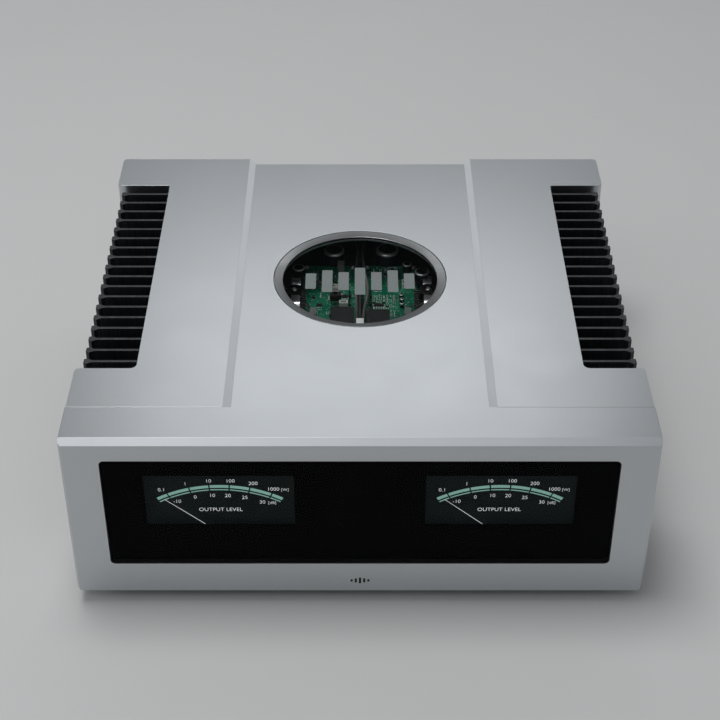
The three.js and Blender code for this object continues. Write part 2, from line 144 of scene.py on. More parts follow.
def roundedOutline(u, v, radius, steps=6):
    # a rectangle with round corners, from its two spans
    points = []
    corners = ((u[1] - radius, v[1] - radius), (u[0] + radius, v[1] - radius),
               (u[0] + radius, v[0] + radius), (u[1] - radius, v[0] + radius))
    for quarter, (cu, cv) in enumerate(corners):
        for i in range(steps + 1):
            angle = math.pi / 2 * (quarter + i / steps)
            points.append((cu + radius * math.cos(angle), cv + radius * math.sin(angle)))
    return points


def hexagon(angle):
    # share of the corner distance that a hexagon reaches at this angle
    return math.cos(math.pi / 6) / math.cos(angle % (math.pi / 3) - math.pi / 6)


def addScrew(bm, centre, radius, axis="z", out=1, ink=0):
    # button head with a hexagon socket; out is +1 or -1 along the axis
    head = radius * 0.62
    socket = radius * 0.52
    profile = [(radius, 0), (radius, head * 0.3), (radius * 0.93, head * 0.62), (radius * 0.78, head * 0.88),
               (radius * 0.62, head), (socket, head, hexagon), (socket, head * 0.4, hexagon), (0, head * 0.3)]
    addLathe(bm, [(row[0], out * row[1], *row[2:]) for row in profile], centre, axis, 24, ink)


def finishPiece(name, bm, finishes, body="chassis", stands=(), bevel=0.0, unit=mm, smooth=0):
    # the mesh is closed off, shaded, given its finishes and joined to its body
    bmesh.ops.scale(bm, vec=(unit, unit, unit), verts=bm.verts)
    bmesh.ops.recalc_face_normals(bm, faces=bm.faces)
    for face in bm.faces:
        face.smooth = True
    mesh = bpy.data.meshes.new(name)
    bm.to_mesh(mesh)
    bm.free()
    for finish in finishes:
        mesh.materials.append(finish)
    piece = bpy.data.objects.new(name, mesh)
    bpy.context.scene.collection.objects.link(piece)
    if smooth:
        rounding = piece.modifiers.new("rounding", "SUBSURF")
        rounding.levels = rounding.render_levels = smooth
    if bevel:
        edges = piece.modifiers.new("edges", "BEVEL")
        edges.width = bevel * mm
        edges.segments = 2
        edges.limit_method = "ANGLE"
        edges.angle_limit = math.radians(35)
    if not smooth:
        mesh.set_sharp_from_angle(angle=math.radians(50))
        shading = piece.modifiers.new("shading", "WEIGHTED_NORMAL")
        shading.keep_sharp = not bevel
    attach(piece, body)
    if stands:
        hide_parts(*stands)
    return piece


def bodyOf(node):
    return frame["nodes"][node].parent.name.split(":")[1]


def workedCopy(node, finish, bevel=0.3, smooth=0):
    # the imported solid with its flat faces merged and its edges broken
    bm = bmesh.new()
    bm.from_mesh(frame["nodes"][node].data)
    bmesh.ops.remove_doubles(bm, verts=bm.verts, dist=2e-6)
    if not smooth:
        bmesh.ops.dissolve_limit(bm, angle_limit=math.radians(0.4), verts=bm.verts, edges=bm.edges)
    return finishPiece(node + "_finished", bm, [finish], bodyOf(node), (node,), bevel, 1, smooth)


# shared effects

def addNode(tree, kind, feeds=None, **settings):
    made = tree.nodes.new(kind)
    for name, value in settings.items():
        setattr(made, name, value)
    for name, value in (feeds or {}).items():  # a feed is a value or another node's socket
        if isinstance(value, bpy.types.NodeSocket):
            tree.links.new(value, made.inputs[name])
        else:
            made.inputs[name].default_value = value
    return made


def placeOf(tree):
    # where on its own piece a point lies
    return addNode(tree, "ShaderNodeTexCoord").outputs["Object"]


def noiseOf(tree, place, scale, detail, **more):
    feeds = {"Vector": place, "Scale": scale, "Detail": detail, **more}
    return addNode(tree, "ShaderNodeTexNoise", feeds).outputs["Fac"]


def mathOf(tree, operation, *feeds):
    return addNode(tree, "ShaderNodeMath", dict(enumerate(feeds)), operation=operation).outputs[0]


def rangeOf(tree, value, low, high, toLow=0.0, toHigh=1.0):
    # the value's share of the way from low to high, put between toLow and toHigh
    feeds = {"Value": value, "From Min": low, "From Max": high, "To Min": toLow, "To Max": toHigh}
    return addNode(tree, "ShaderNodeMapRange", feeds).outputs[0]


def effect(name, inputs, output, kind="NodeSocketFloat"):
    # an empty node group: its tree, its input sockets by name and its output socket
    tree = bpy.data.node_groups.new(name, "ShaderNodeTree")
    for label, value in inputs.items():
        socketKind = "NodeSocketColor" if isinstance(value, tuple) else "NodeSocketFloat"
        tree.interface.new_socket(label, in_out="INPUT", socket_type=socketKind).default_value = value
    tree.interface.new_socket(output, in_out="OUTPUT", socket_type=kind)
    start = tree.nodes.new("NodeGroupInput")
    end = tree.nodes.new("NodeGroupOutput")
    return tree, start.outputs, end.inputs[output]


def makeGrain():
    # fine surface height, such as bead blasting or moulded texture
    tree, given, result = effect("grain", {"Scale": 3000.0}, "Height")
    tree.links.new(noiseOf(tree, placeOf(tree), given["Scale"], 3.0), result)
    return tree


def makeTone():
    # slow drift of a colour over the surface
    tree, given, result = effect("tone", {"Base": (1, 1, 1, 1), "Amount": 0.08, "Scale": 9.0}, "Color",
                                 "NodeSocketColor")
    cloud = noiseOf(tree, placeOf(tree), given["Scale"], 4.0)
    drift = mathOf(tree, "SUBTRACT", cloud, 0.5)
    share = mathOf(tree, "MULTIPLY_ADD", drift, given["Amount"], 1.0)
    shade = addNode(tree, "ShaderNodeHueSaturation", {"Color": given["Base"], "Value": share})
    tree.links.new(shade.outputs["Color"], result)
    return tree


def makeSmudge():
    # roughness that wanders between two values, as handled metal and plastic has
    tree, given, result = effect("smudge", {"Low": 0.3, "High": 0.4, "Scale": 22.0}, "Roughness")
    cloud = noiseOf(tree, placeOf(tree), given["Scale"], 5.0, Distortion=0.6)
    tree.links.new(rangeOf(tree, cloud, 0.36, 0.64, given["Low"], given["High"]), result)
    return tree


def makeDust():
    # a mask of fine dust that lies on what faces up
    tree, given, result = effect("dust", {"Amount": 0.3, "Scale": 160.0}, "Mask")
    speck = noiseOf(tree, placeOf(tree), given["Scale"], 6.0, Roughness=0.7)
    normal = addNode(tree, "ShaderNodeNewGeometry").outputs["Normal"]
    facing = addNode(tree, "ShaderNodeSeparateXYZ", {0: normal}).outputs["Z"]
    level = rangeOf(tree, facing, 0.6, 1.0)
    patchy = rangeOf(tree, speck, 0.4, 0.65, 0.25)
    both = mathOf(tree, "MULTIPLY", level, patchy)
    tree.links.new(mathOf(tree, "MULTIPLY", both, given["Amount"]), result)
    return tree


def makeEdgeWear():
    # a mask of edges, broken up where they have been touched less: partly wear on the metal, partly a painted
    # highlight along the edges
    tree, given, result = effect("edgeWear", {"Width": 0.0006, "Amount": 0.6}, "Mask")
    rounded = addNode(tree, "ShaderNodeBevel", {"Radius": given["Width"]}, samples=4).outputs["Normal"]
    flat = addNode(tree, "ShaderNodeNewGeometry").outputs["Normal"]
    bend = addNode(tree, "ShaderNodeVectorMath", {0: rounded, 1: flat}, operation="DOT_PRODUCT")
    edge = rangeOf(tree, bend.outputs["Value"], 0.995, 0.85)
    touched = rangeOf(tree, noiseOf(tree, placeOf(tree), 130.0, 4.0), 0.35, 0.6, 0.45)
    both = mathOf(tree, "MULTIPLY", edge, touched)
    tree.links.new(mathOf(tree, "MULTIPLY", both, given["Amount"]), result)
    return tree


grain, tone, smudge, dust, edgeWear = makeGrain(), makeTone(), makeSmudge(), makeDust(), makeEdgeWear()
dustColor = (0.34, 0.33, 0.31, 1)


def useEffect(tree, group, **feeds):
    return addNode(tree, "ShaderNodeGroup", feeds, node_tree=group).outputs[0]


def blendColors(tree, mask, below, above):
    # sockets 6, 7 and 2 are the mix node's two colours and its coloured result
    return addNode(tree, "ShaderNodeMix", {0: mask, 6: below, 7: above}, data_type="RGBA").outputs[2]


def finishOf(name, look, pattern=None):
    # look: color, rough (low, high), metal, drift, grain (scale, depth in mm), edge wear with a painted edge
    # highlight, dusty and plain sockets.
    # pattern(tree) may give a colour socket and a height socket of its own
    material = bpy.data.materials.new(name)
    material.use_nodes = True
    tree = material.node_tree
    shader = tree.nodes["Principled BSDF"]
    color, height = pattern(tree) if pattern else (None, None)
    color = color or (*look["color"], 1)
    color = useEffect(tree, tone, Base=color, Amount=look.get("drift", 0.12),
                      Scale=look.get("driftScale", 9.0))
    if "wearAndHighlight" in look:
        # the edges take a lighter bare colour: partly wear, partly a painted highlight
        width, amount, bare = look["wearAndHighlight"]
        color = blendColors(tree, useEffect(tree, edgeWear, Width=width * mm, Amount=amount), color,
                            (*bare, 1))
    if "dusty" in look:
        color = blendColors(tree, useEffect(tree, dust, Amount=look["dusty"]), color, dustColor)
    tree.links.new(color, shader.inputs["Base Color"])
    low, high = look["rough"]
    tree.links.new(useEffect(tree, smudge, Low=low, High=high), shader.inputs["Roughness"])
    shader.inputs["Metallic"].default_value = look.get("metal", 0.0)
    scale, depth = look.get("grain", (2500.0, 0.01))
    height = height or useEffect(tree, grain, Scale=scale)
    bump = addNode(tree, "ShaderNodeBump", {"Height": height, "Strength": look.get("relief", 0.5),
                                            "Distance": depth * mm})
    tree.links.new(bump.outputs["Normal"], shader.inputs["Normal"])
    for socket, value in look.get("plain", {}).items():
        shader.inputs[socket].default_value = value
    return material


# finishes

def finGrooves(tree):
    # drawing lines that run up and down a black extrusion
    stretch = addNode(tree, "ShaderNodeMapping", {"Vector": placeOf(tree), "Scale": (1.0, 1.0, 0.02)})
    lines = noiseOf(tree, stretch.outputs[0], 1400.0, 2.0)
    dark, light = (0.028, 0.031, 0.035, 1), (0.058, 0.064, 0.071, 1)
    return blendColors(tree, rangeOf(tree, lines, 0.3, 0.7), dark, light), lines


def turnedLines(tree):
    # rings left by a lathe tool round the porthole's axis
    centre = middleOf("porthole_ring") * mm
    shift = addNode(tree, "ShaderNodeVectorMath", {0: placeOf(tree), 1: (centre.x, centre.y, 0)},
                    operation="SUBTRACT")
    flat = addNode(tree, "ShaderNodeVectorMath", {0: shift.outputs[0], 1: (1, 1, 0)}, operation="MULTIPLY")
    reach = addNode(tree, "ShaderNodeVectorMath", {0: flat.outputs[0]}, operation="LENGTH")
    wave = addNode(tree, "ShaderNodeTexNoise", {"W": reach.outputs["Value"], "Scale": 2600.0, "Detail": 2.0},
                   noise_dimensions="1D").outputs["Fac"]
    dark, light = (0.215, 0.222, 0.227, 1), (0.275, 0.283, 0.290, 1)
    return blendColors(tree, rangeOf(tree, wave, 0.3, 0.7), dark, light), wave


def boardPattern(tree):
    # copper tracks, pours and tinned vias under green solder mask
    place = placeOf(tree)
    tracks = []
    for turn, size, width in ((0.0, 330.0, 0.045), (math.pi / 2, 520.0, 0.06)):
        turned = addNode(tree, "ShaderNodeMapping", {"Vector": place, "Rotation": (0, 0, turn)})
        brick = addNode(tree, "ShaderNodeTexBrick", {
            "Vector": turned.outputs[0], "Scale": size, "Mortar Size": width, "Mortar Smooth": 0.1,
            "Brick Width": 2.6, "Row Height": 0.42})
        tracks.append(brick.outputs["Fac"])
    either = mathOf(tree, "MAXIMUM", *tracks)
    cloud = noiseOf(tree, place, 60.0, 1.0)
    routed = mathOf(tree, "GREATER_THAN", cloud, 0.46)
    lines = mathOf(tree, "MULTIPLY", either, routed)
    copper = mathOf(tree, "MAXIMUM", lines, rangeOf(tree, cloud, 0.56, 0.565))
    cells = addNode(tree, "ShaderNodeTexVoronoi", {"Vector": place, "Scale": 170.0}, voronoi_dimensions="2D")
    via = mathOf(tree, "LESS_THAN", cells.outputs["Distance"], 0.09)
    mask = blendColors(tree, copper, (0.005, 0.110, 0.060, 1), (0.012, 0.170, 0.092, 1))
    shown = blendColors(tree, via, mask, (0.42, 0.45, 0.42, 1))
    return shown, mathOf(tree, "ADD", copper, via)


def braid(tree):
    # woven strands round a lead that runs front to back
    place = placeOf(tree)
    strands = []
    for lean in (0.9, -0.9):
        turned = addNode(tree, "ShaderNodeMapping", {"Vector": place, "Rotation": (0.4 * lean, 0, lean)})
        feeds = {"Vector": turned.outputs[0], "Scale": 420.0, "Distortion": 0.4}
        strands.append(addNode(tree, "ShaderNodeTexWave", feeds).outputs["Fac"])
    woven = mathOf(tree, "MULTIPLY", *strands)
    return blendColors(tree, woven, (0.07, 0.073, 0.073, 1), (0.25, 0.255, 0.25, 1)), woven


# the lighter edge colours below are partly wear and partly a painted edge highlight
finishes = {
    "silver": finishOf("bead-blasted anodised aluminium", {
        "color": (0.548, 0.572, 0.590), "rough": (0.295, 0.31), "metal": 1.0, "drift": 0.02,
        "driftScale": 5.0,
        "grain": (1500.0, 0.02), "relief": 0.3, "wearAndHighlight": (0.7, 0.35, (0.72, 0.73, 0.74))}),
    "fin": finishOf("black anodised extrusion", {
        "rough": (0.36, 0.48), "metal": 0.85, "grain": (0, 0.03), "dusty": 0.16,
        "wearAndHighlight": (0.5, 0.35, (0.16, 0.165, 0.17))}, finGrooves),
    "ring": finishOf("turned aluminium", {
        "rough": (0.24, 0.34), "metal": 1.0, "grain": (0, 0.008), "relief": 0.5}, turnedLines),
    "steel": finishOf("black powder-coated steel", {
        "color": (0.016, 0.017, 0.018), "rough": (0.46, 0.62), "grain": (1300.0, 0.05), "dusty": 0.06,
        "wearAndHighlight": (0.5, 0.4, (0.12, 0.12, 0.12))}),
    "mask": finishOf("matt black print", {"color": (0.0016, 0.0018, 0.0018), "rough": (0.6, 0.7),
                                          "grain": (4000.0, 0.003), "plain": {"Specular IOR Level": 0.02}}),
    "plastic": finishOf("moulded black plastic", {
        "color": (0.014, 0.015, 0.016), "rough": (0.36, 0.5), "grain": (1800.0, 0.02), "dusty": 0.08,
        "wearAndHighlight": (0.3, 0.4, (0.06, 0.06, 0.062))}),
    "board": finishOf("green solder mask", {"rough": (0.24, 0.36), "grain": (0, 0.04), "relief": 0.7,
                                            "drift": 0.3, "driftScale": 30.0}, boardPattern),
    "can": finishOf("black lacquered can", {
        "color": (0.02, 0.021, 0.023), "rough": (0.22, 0.38), "metal": 0.3, "grain": (500.0, 0.03),
        "plain": {"Coat Weight": 0.5}}),
    "sleeve": finishOf("shrink sleeve", {"color": (0.012, 0.013, 0.016), "rough": (0.26, 0.36), "drift": 0.3,
                                         "grain": (400.0, 0.02)}),
    "jacket": finishOf("grey braided jacket", {"rough": (0.5, 0.62), "grain": (0, 0.12), "relief": 0.8},
                       braid),
    "rubber": finishOf("moulded rubber", {"color": (0.012, 0.012, 0.012), "rough": (0.7, 0.85),
                                          "grain": (1200.0, 0.05), "dusty": 0.15}),
    "gold": finishOf("polished gold plate", {
        "color": (0.80, 0.56, 0.22), "rough": (0.12, 0.24), "metal": 1.0, "drift": 0.1,
        "grain": (700.0, 0.006),
        "wearAndHighlight": (0.3, 0.4, (0.95, 0.78, 0.42))}),
    "nickel": finishOf("satin nickel plate", {
        "color": (0.52, 0.51, 0.50), "rough": (0.22, 0.34), "metal": 1.0, "grain": (1100.0, 0.01),
        "wearAndHighlight": (0.3, 0.4, (0.75, 0.74, 0.73))}),
    "tin": finishOf("tinned copper", {"color": (0.62, 0.62, 0.61), "rough": (0.28, 0.42), "metal": 1.0,
                                      "drift": 0.2, "driftScale": 60.0, "grain": (600.0, 0.02)}),
    "blackScrew": finishOf("blackened screw", {
        "color": (0.05, 0.05, 0.052), "rough": (0.3, 0.42), "metal": 1.0, "grain": (1500.0, 0.01),
        "wearAndHighlight": (0.3, 0.6, (0.3, 0.3, 0.3))}),
    "chip": finishOf("black moulded resin", {"color": (0.011, 0.011, 0.012), "rough": (0.46, 0.58),
                                             "grain": (3500.0, 0.01), "plain": {"Specular IOR Level": 0.25}}),
    "ceramic": finishOf("tan ceramic", {"color": (0.30, 0.26, 0.20), "rough": (0.35, 0.5), "drift": 0.4,
                                        "driftScale": 200.0}),
    "nylon": finishOf("white nylon", {"color": (0.62, 0.62, 0.58), "rough": (0.4, 0.52), "drift": 0.1}),
    "film": finishOf("grey film capacitor case", {"color": (0.17, 0.175, 0.18), "rough": (0.36, 0.48)}),
    "canTop": finishOf("bare can top", {"color": (0.80, 0.81, 0.82), "rough": (0.3, 0.42), "metal": 0.75}),
    "strap": finishOf("bright tinned strap", {"color": (0.88, 0.90, 0.91), "rough": (0.24, 0.32),
                                              "metal": 0.9}),
    "solder": finishOf("bright solder", {"color": (0.88, 0.90, 0.91), "rough": (0.3, 0.42), "metal": 0.2}),
    "lead": finishOf("dark insulated lead", {"color": (0.035, 0.037, 0.04), "rough": (0.4, 0.52)}),
    "redRing": finishOf("red insulator", {"color": (0.42, 0.012, 0.010), "rough": (0.3, 0.42)}),
    "whiteRing": finishOf("white insulator", {"color": (0.66, 0.66, 0.64), "rough": (0.32, 0.44)}),
}


def inkOf(name, color, glow, drift=0.1):
    # printed ink that glows a little: on the dials a lamp behind lights it, on the porthole print the faint
    # glow is painted light with no lamp behind
    ink = finishOf(name, {"color": color, "rough": (0.5, 0.62), "drift": drift, "driftScale": 60.0,
                          "plain": {"Specular IOR Level": 0.2, "Emission Strength": glow}})
    tree = ink.node_tree
    lit = useEffect(tree, tone, Base=(*color, 1), Amount=drift, Scale=45.0)
    tree.links.new(lit, tree.nodes["Principled BSDF"].inputs["Emission Color"])
    return ink


inks = {
    "dial": inkOf("dark dial face", (0.011, 0.018, 0.018), 0.3, 0.5),
    "teal": inkOf("teal scale ink", (0.27, 0.50, 0.42), 1.0, 0.3),
    "white": inkOf("white scale ink", (0.80, 0.84, 0.83), 1.4),
    "needle": inkOf("white needle paint", (0.74, 0.78, 0.78), 1.2),
    # the porthole print's glow is painted light: no lamp lies under it
    "motifWithPaintedGlow": inkOf("grey porthole print", (0.19, 0.215, 0.21), 0.1, 0.06),
    "panelMark": inkOf("dark panel print", (0.012, 0.013, 0.014), 0.0),
    "rearMark": inkOf("white rear print", (0.6, 0.6, 0.6), 0.0),
}


def paneOf(name, color, facing, tilt, rough):
    # a pane that is seen through: its clear share falls as the view grazes it, and its back adds nothing
    glass = bpy.data.materials.new(name)
    glass.use_nodes = True
    tree = glass.node_tree
    shader = tree.nodes["Principled BSDF"]
    shade = useEffect(tree, tone, Base=(*color, 1), Amount=0.1, Scale=14.0)
    tree.links.new(shade, shader.inputs["Base Color"])
    tree.links.new(useEffect(tree, smudge, Low=rough, High=rough + 0.05, Scale=30.0),
                   shader.inputs["Roughness"])
    shader.inputs["Metallic"].default_value = 0.0
    shader.inputs["Transmission Weight"].default_value = 0.0
    shader.inputs["Specular IOR Level"].default_value = 0.08
    mirror = addNode(tree, "ShaderNodeFresnel", {"IOR": 1.3}).outputs[0]
    cover = rangeOf(tree, mirror, 0.0, 1.0, facing, tilt)
    back = addNode(tree, "ShaderNodeNewGeometry").outputs["Backfacing"]
    front = mathOf(tree, "SUBTRACT", 1.0, back)
    tree.links.new(mathOf(tree, "MULTIPLY", cover, front), shader.inputs["Alpha"])
    return glass


smoked = paneOf("smoked front glass", (0.0005, 0.0007, 0.0006), 0.46, 1.0, 0.03)
clear = paneOf("clear porthole glass", (0.02, 0.025, 0.024), 0.03, 0.8, 0.02)
print("finishes ready:", len(finishes) + len(inks) + 2)


# case

caseEdges = {"panels": 0.2, "fins": 0.3, "sheet": 0.3}  # how far edges are broken, in mm

for node in ("front_panel", "top_plate", "cheek_front_left", "cheek_front_right", "cheek_rear_left",
             "cheek_rear_right"):
    workedCopy(node, finishes["silver"], caseEdges["panels"])
for node in ("heatsink_left", "heatsink_right"):
    workedCopy(node, finishes["fin"], caseEdges["fins"])
for node in ("base_pan", "rear_panel", "mezzanine_plate", "center_divider"):
    workedCopy(node, finishes["steel"], caseEdges["sheet"])


screwLook = {"radius": 2.8, "under": (-160, -60, 60, 160), "behind": (-213, -120, -30, 30, 120, 213)}


def makeCaseScrews():
    # sheet fixings on the underside and round the rear panel
    low, high = spanOf("base_pan")
    under = bmesh.new()
    for x in screwLook["under"]:
        for y in (low.y + 12, high.y - 12):
            addScrew(under, (x, y, low.z - 0.02), screwLook["radius"], "z", -1)
    finishPiece("base_screws", under, [finishes["blackScrew"]])
    low, high = spanOf("rear_panel")
    behind = bmesh.new()
    for x in screwLook["behind"]:
        for z in (low.z + 7, high.z - 7):
            if abs(x) > 40 or z > 100:  # the inlet takes the lower middle
                addScrew(behind, (x, high.y + 0.02, z), screwLook["radius"], "y", 1)
    finishPiece("rear_screws", behind, [finishes["blackScrew"]])


makeCaseScrews()
print("case done")

# porthole

portholeLook = {
    "steps": 160, "edge": 0.3, "face": 7.5, "drop": 1.4,
    "barWidth": 9.2, "barGap": 5.2, "barThick": 0.12, "bars": (24, 34, 28, 42, 28, 34, 24),
}


def makePorthole():
    low, high = spanOf("porthole_ring")
    look = portholeLook
    centre = (middleOf("porthole_ring").x, middleOf("porthole_ring").y, 0)
    outer = (high.x - low.x) / 2
    glassLow, glassHigh = spanOf("porthole_glass")
    glassRadius = (glassHigh.x - glassLow.x) / 2
    inner = outer - look["face"]
    bottom, top = low.z, high.z
    seat = glassHigh.z + 0.3
    edge = look["edge"]
    ring = bmesh.new()
    profile = [(glassRadius + 0.4, bottom), (outer, bottom), (outer, top - edge), (outer - edge, top - 0.06),
               (inner + edge, top - look["drop"] + 0.05), (inner, top - look["drop"] - 0.2), (inner, seat),
               (glassRadius + 0.4, seat), (glassRadius + 0.4, bottom)]
    addLathe(ring, profile, centre, "z", look["steps"])
    bmesh.ops.remove_doubles(ring, verts=ring.verts, dist=1e-4)
    finishPiece("porthole_trim", ring, [finishes["ring"]], stands=("porthole_ring",))
    pane = bmesh.new()
    profile = [(0, glassLow.z), (glassRadius - edge, glassLow.z), (glassRadius, glassLow.z + edge),
               (glassRadius, glassHigh.z - edge), (glassRadius - edge, glassHigh.z), (0, glassHigh.z)]
    addLathe(pane, profile, centre, "z", look["steps"])
    finishPiece("porthole_pane", pane, [clear], stands=("porthole_glass",))
    # a row of level bars printed under the glass, in ink with a faint painted glow
    prints = bmesh.new()
    width, pitch = look["barWidth"], look["barWidth"] + look["barGap"]
    under = (glassLow.z - 0.05 - look["barThick"], glassLow.z - 0.05)
    for i, tall in enumerate(look["bars"]):
        x = centre[0] + pitch * (i - (len(look["bars"]) - 1) / 2)
        bar = roundedOutline(around(x, width), around(centre[1], tall), 0.8, 3)
        addPrism(prints, bar, *under)
    finishPiece("porthole_print", prints, [inks["motifWithPaintedGlow"]])


makePorthole()
print("porthole done")

# front window and meters

workedCopy("front_window", smoked, 0.15)
workedCopy("meter_mask", finishes["mask"], 0.1)
workedCopy("display_board", finishes["board"], 0.1)
for side in ("left", "right"):
    workedCopy("dial_plate_" + side, inks["dial"], 0.1)
    workedCopy("meter_movement_" + side, finishes["plastic"], 0.4)

dialLook = {
    "arcCentre": 50.0,  # below the pivot
    "wide": (97.8, 100.6), "thin": (95.3, 96.3), "half": 29.8, "tick": 1.15, "inkThick": 0.06,
    "ticks": (-24.4, -13.9, -4.7, 4.5, 13.8, 24.2),
    # each label with its place across and above the pivot
    "upper": (("0.1", -45.7, 45.4), ("1", -26.7, 51.7), ("10", -8.4, 54.7), ("100", 8.8, 54.7),
              ("200", 26.6, 52.1), ("1000", 42.2, 46.2)),
    "lower": (("-10", -34.0, 33.4), ("0", -19.5, 37.9), ("10", -6.1, 39.6), ("20", 6.3, 39.4),
              ("25", 19.6, 37.5), ("30", 33.2, 32.6)),
    "units": (("[W]", 51.4, 45.6), ("[dB]", 41.0, 32.0)),
    "caption": ("OUTPUT LEVEL", 0.0, 24.8), "numberSize": 4.9, "unitSize": 3.8, "captionSize": 5.1,
    "thinner": -0.07,
}
needleLook = {"reach": 57.3, "rest": 139.8, "tail": 8.6, "thick": 0.25, "root": 0.24, "tip": 0.14}


def addLetters(bm, text, centre, size, ink, out=-1):
    # flat letters that face the front (out -1) or the rear (out +1)
    curve = bpy.data.curves.new("letters", "FONT")
    curve.body = text
    curve.size = size
    curve.align_x = "CENTER"
    curve.align_y = "CENTER"
    curve.resolution_u = 4
    curve.extrude = dialLook["inkThick"] / 2
    curve.offset = dialLook["thinner"]
    holder = bpy.data.objects.new("letters", curve)
    bpy.context.scene.collection.objects.link(holder)
    bpy.context.view_layer.update()
    mesh = bpy.data.meshes.new_from_object(holder.evaluated_get(bpy.context.evaluated_depsgraph_get()))
    for vertex in mesh.vertices:
        u, v, w = vertex.co
        vertex.co = (centre[0] - out * u, centre[1] + out * w, centre[2] + v)
    first = len(bm.faces)
    bm.from_mesh(mesh)
    bm.faces.ensure_lookup_table()
    for face in bm.faces[first:]:
        face.material_index = ink
    bpy.data.objects.remove(holder)
    bpy.data.curves.remove(curve)
    bpy.data.meshes.remove(mesh)


def pivotOf(side):
    # the needle joint's own axis
    joint = next(j for j in frame["joints"] if j["name"] == "needle_" + side + "_swing")
    return Vector(joint["pos_m"]) / mm


def makeDial(side):
    look = dialLook
    pivot = pivotOf(side)
    face = spanOf("dial_plate_" + side)[0].y
    layer = (face - 0.02 - look["inkThick"], face - 0.02)
    centre = (pivot.x, 0, pivot.z - look["arcCentre"])
    ink = bmesh.new()
    stops = [-look["half"], *look["ticks"], look["half"]]
    for near, far in (look["wide"], look["thin"]):
        gap = math.degrees(look["tick"] / 2 / near)
        for start, end in zip(stops, stops[1:]):
            start += gap if start > -look["half"] else 0
            end -= gap if end < look["half"] else 0
            turns = [math.radians(start + (end - start) * i / 10) for i in range(11)]
            arc = [(far * math.sin(a), far * math.cos(a)) for a in turns]
            arc += [(near * math.sin(a), near * math.cos(a)) for a in reversed(turns)]
            addPrism(ink, arc, *layer, axis="y", centre=centre)
    middle = sum(layer) / 2
    for labels, size in (((*look["upper"], *look["lower"]), "numberSize"), (look["units"], "unitSize"),
                         ((look["caption"],), "captionSize")):
        for label, dx, dz in labels:
            addLetters(ink, label, (pivot.x + dx, middle, pivot.z + dz), look[size], 1)
    finishPiece("dial_prints" + side, ink, [inks["teal"], inks["white"]])


def makeNeedle(side):
    look = needleLook
    pivot = pivotOf(side)
    low, high = spanOf("needle_" + side)
    angle = math.radians(look["rest"])
    along = Vector((math.cos(angle), math.sin(angle)))
    across = Vector((-along.y, along.x))
    blade = [(-look["tail"], 1.15), (-look["tail"] + 3.6, 1.15), (-look["tail"] + 4.4, 0.45),
             (0, look["root"]), (look["reach"] - 0.3, look["tip"]), (look["reach"], 0.08)]
    outline = [(along * far + across * half)[:] for far, half in blade]
    outline += [(along * far - across * half)[:] for far, half in reversed(blade)]
    plane = low.y + 0.62
    needle = bmesh.new()
    addPrism(needle, outline, plane, plane + look["thick"], axis="y", centre=pivot * Vector((1, 0, 1)))
    hub = [(0, low.y + 0.02), (1.4, low.y + 0.02), (1.9, low.y + 0.3), (3.1, low.y + 0.45),
           (3.3, low.y + 0.8), (3.3, plane + 0.8), (2.1, plane + 0.95), (2.1, high.y), (0, high.y)]
    addLathe(needle, hub, (pivot.x, 0, pivot.z), "y", 40, 1)
    finishPiece("pointer_" + side, needle, [inks["needle"], finishes["plastic"]], "needle_" + side,
                ("needle_" + side,), 0.05)


for side in ("left", "right"):
    makeDial(side)
    makeNeedle(side)


markLook = {"bars": (2.6, 4.6, 6.4, 4.6, 2.6), "width": 1.8, "pitch": 3.4, "rise": 11.2}


def makeFrontMark():
    # a small row of level bars under the window
    low = spanOf("front_panel")[0]
    mark = bmesh.new()
    for i, tall in enumerate(markLook["bars"]):
        x = markLook["pitch"] * (i - 2)
        bar = roundedOutline(around(x, markLook["width"]), around(low.z + markLook["rise"], tall), 0.3, 2)
        addPrism(mark, bar, low.y - 0.03, low.y - 0.005, "y")
    finishPiece("front_mark", mark, [inks["panelMark"]])


makeFrontMark()
print("meters done")

# inside, under the porthole

for side in ("left", "right"):
    workedCopy("amp_board_" + side, finishes["board"], 0.15)
    workedCopy("relay_" + side, finishes["chip"], 0.4)
    workedCopy("transformer_" + side, finishes["can"], 0.6)
    workedCopy("signal_cable_" + side, finishes["jacket"], 0, 2)
for i in range(1, 5):
    workedCopy("reservoir_cap_" + str(i), finishes["sleeve"], 0.4)
workedCopy("input_board", finishes["board"], 0.15)

shelfTop = spanOf("mezzanine_plate")[1].z
boardTop = spanOf("amp_board_left")[1].z


def addCan(bm, x, y, low, high, radius, sleeve=0, bare=1):
    # an electrolytic capacitor: rolled foot, sleeve, a bare rounded shoulder and a scored lid, the lid
    # painted in the sleeve's black as a painted dark reflection of the case's unlit inside
    crown = 0.22 * radius
    profile = [(0, low), (radius * 0.96, low), (radius, low + 0.5), (radius * 0.95, low + 1.4),
               (radius, low + 2.1), (radius, high - crown - 0.2), (radius - 0.2, high - crown),
               (0, high - crown)]
    addLathe(bm, profile, (x, y, 0), "z", 40, sleeve)
    turns = [math.radians(15 * i) for i in range(7)]
    shoulder = [(radius - 0.25 - crown * (1 - math.cos(a)), high - crown * (1 - math.sin(a))) for a in turns]
    addLathe(bm, shoulder, (x, y, 0), "z", 40, bare)
    flat = shoulder[-1][0]
    # the flat lid is painted sleeve-black: a painted dark reflection, where a real can top is bare metal
    addLathe(bm, [(flat, high), (0, high)], (x, y, 0), "z", 40, sleeve)
    reach = flat * 0.85
    for angle in (0, 1, 2):
        turn = math.pi / 3 * angle + 0.4
        u, v = math.cos(turn), math.sin(turn)
        line = [(u * reach - v * 0.22, v * reach + u * 0.22), (-u * reach - v * 0.22, -v * reach + u * 0.22),
                (-u * reach + v * 0.22, -v * reach - u * 0.22), (u * reach + v * 0.22, v * reach - u * 0.22)]
        addPrism(bm, line, high + 0.01, high + 0.05, "z", (x, y, 0), 2)


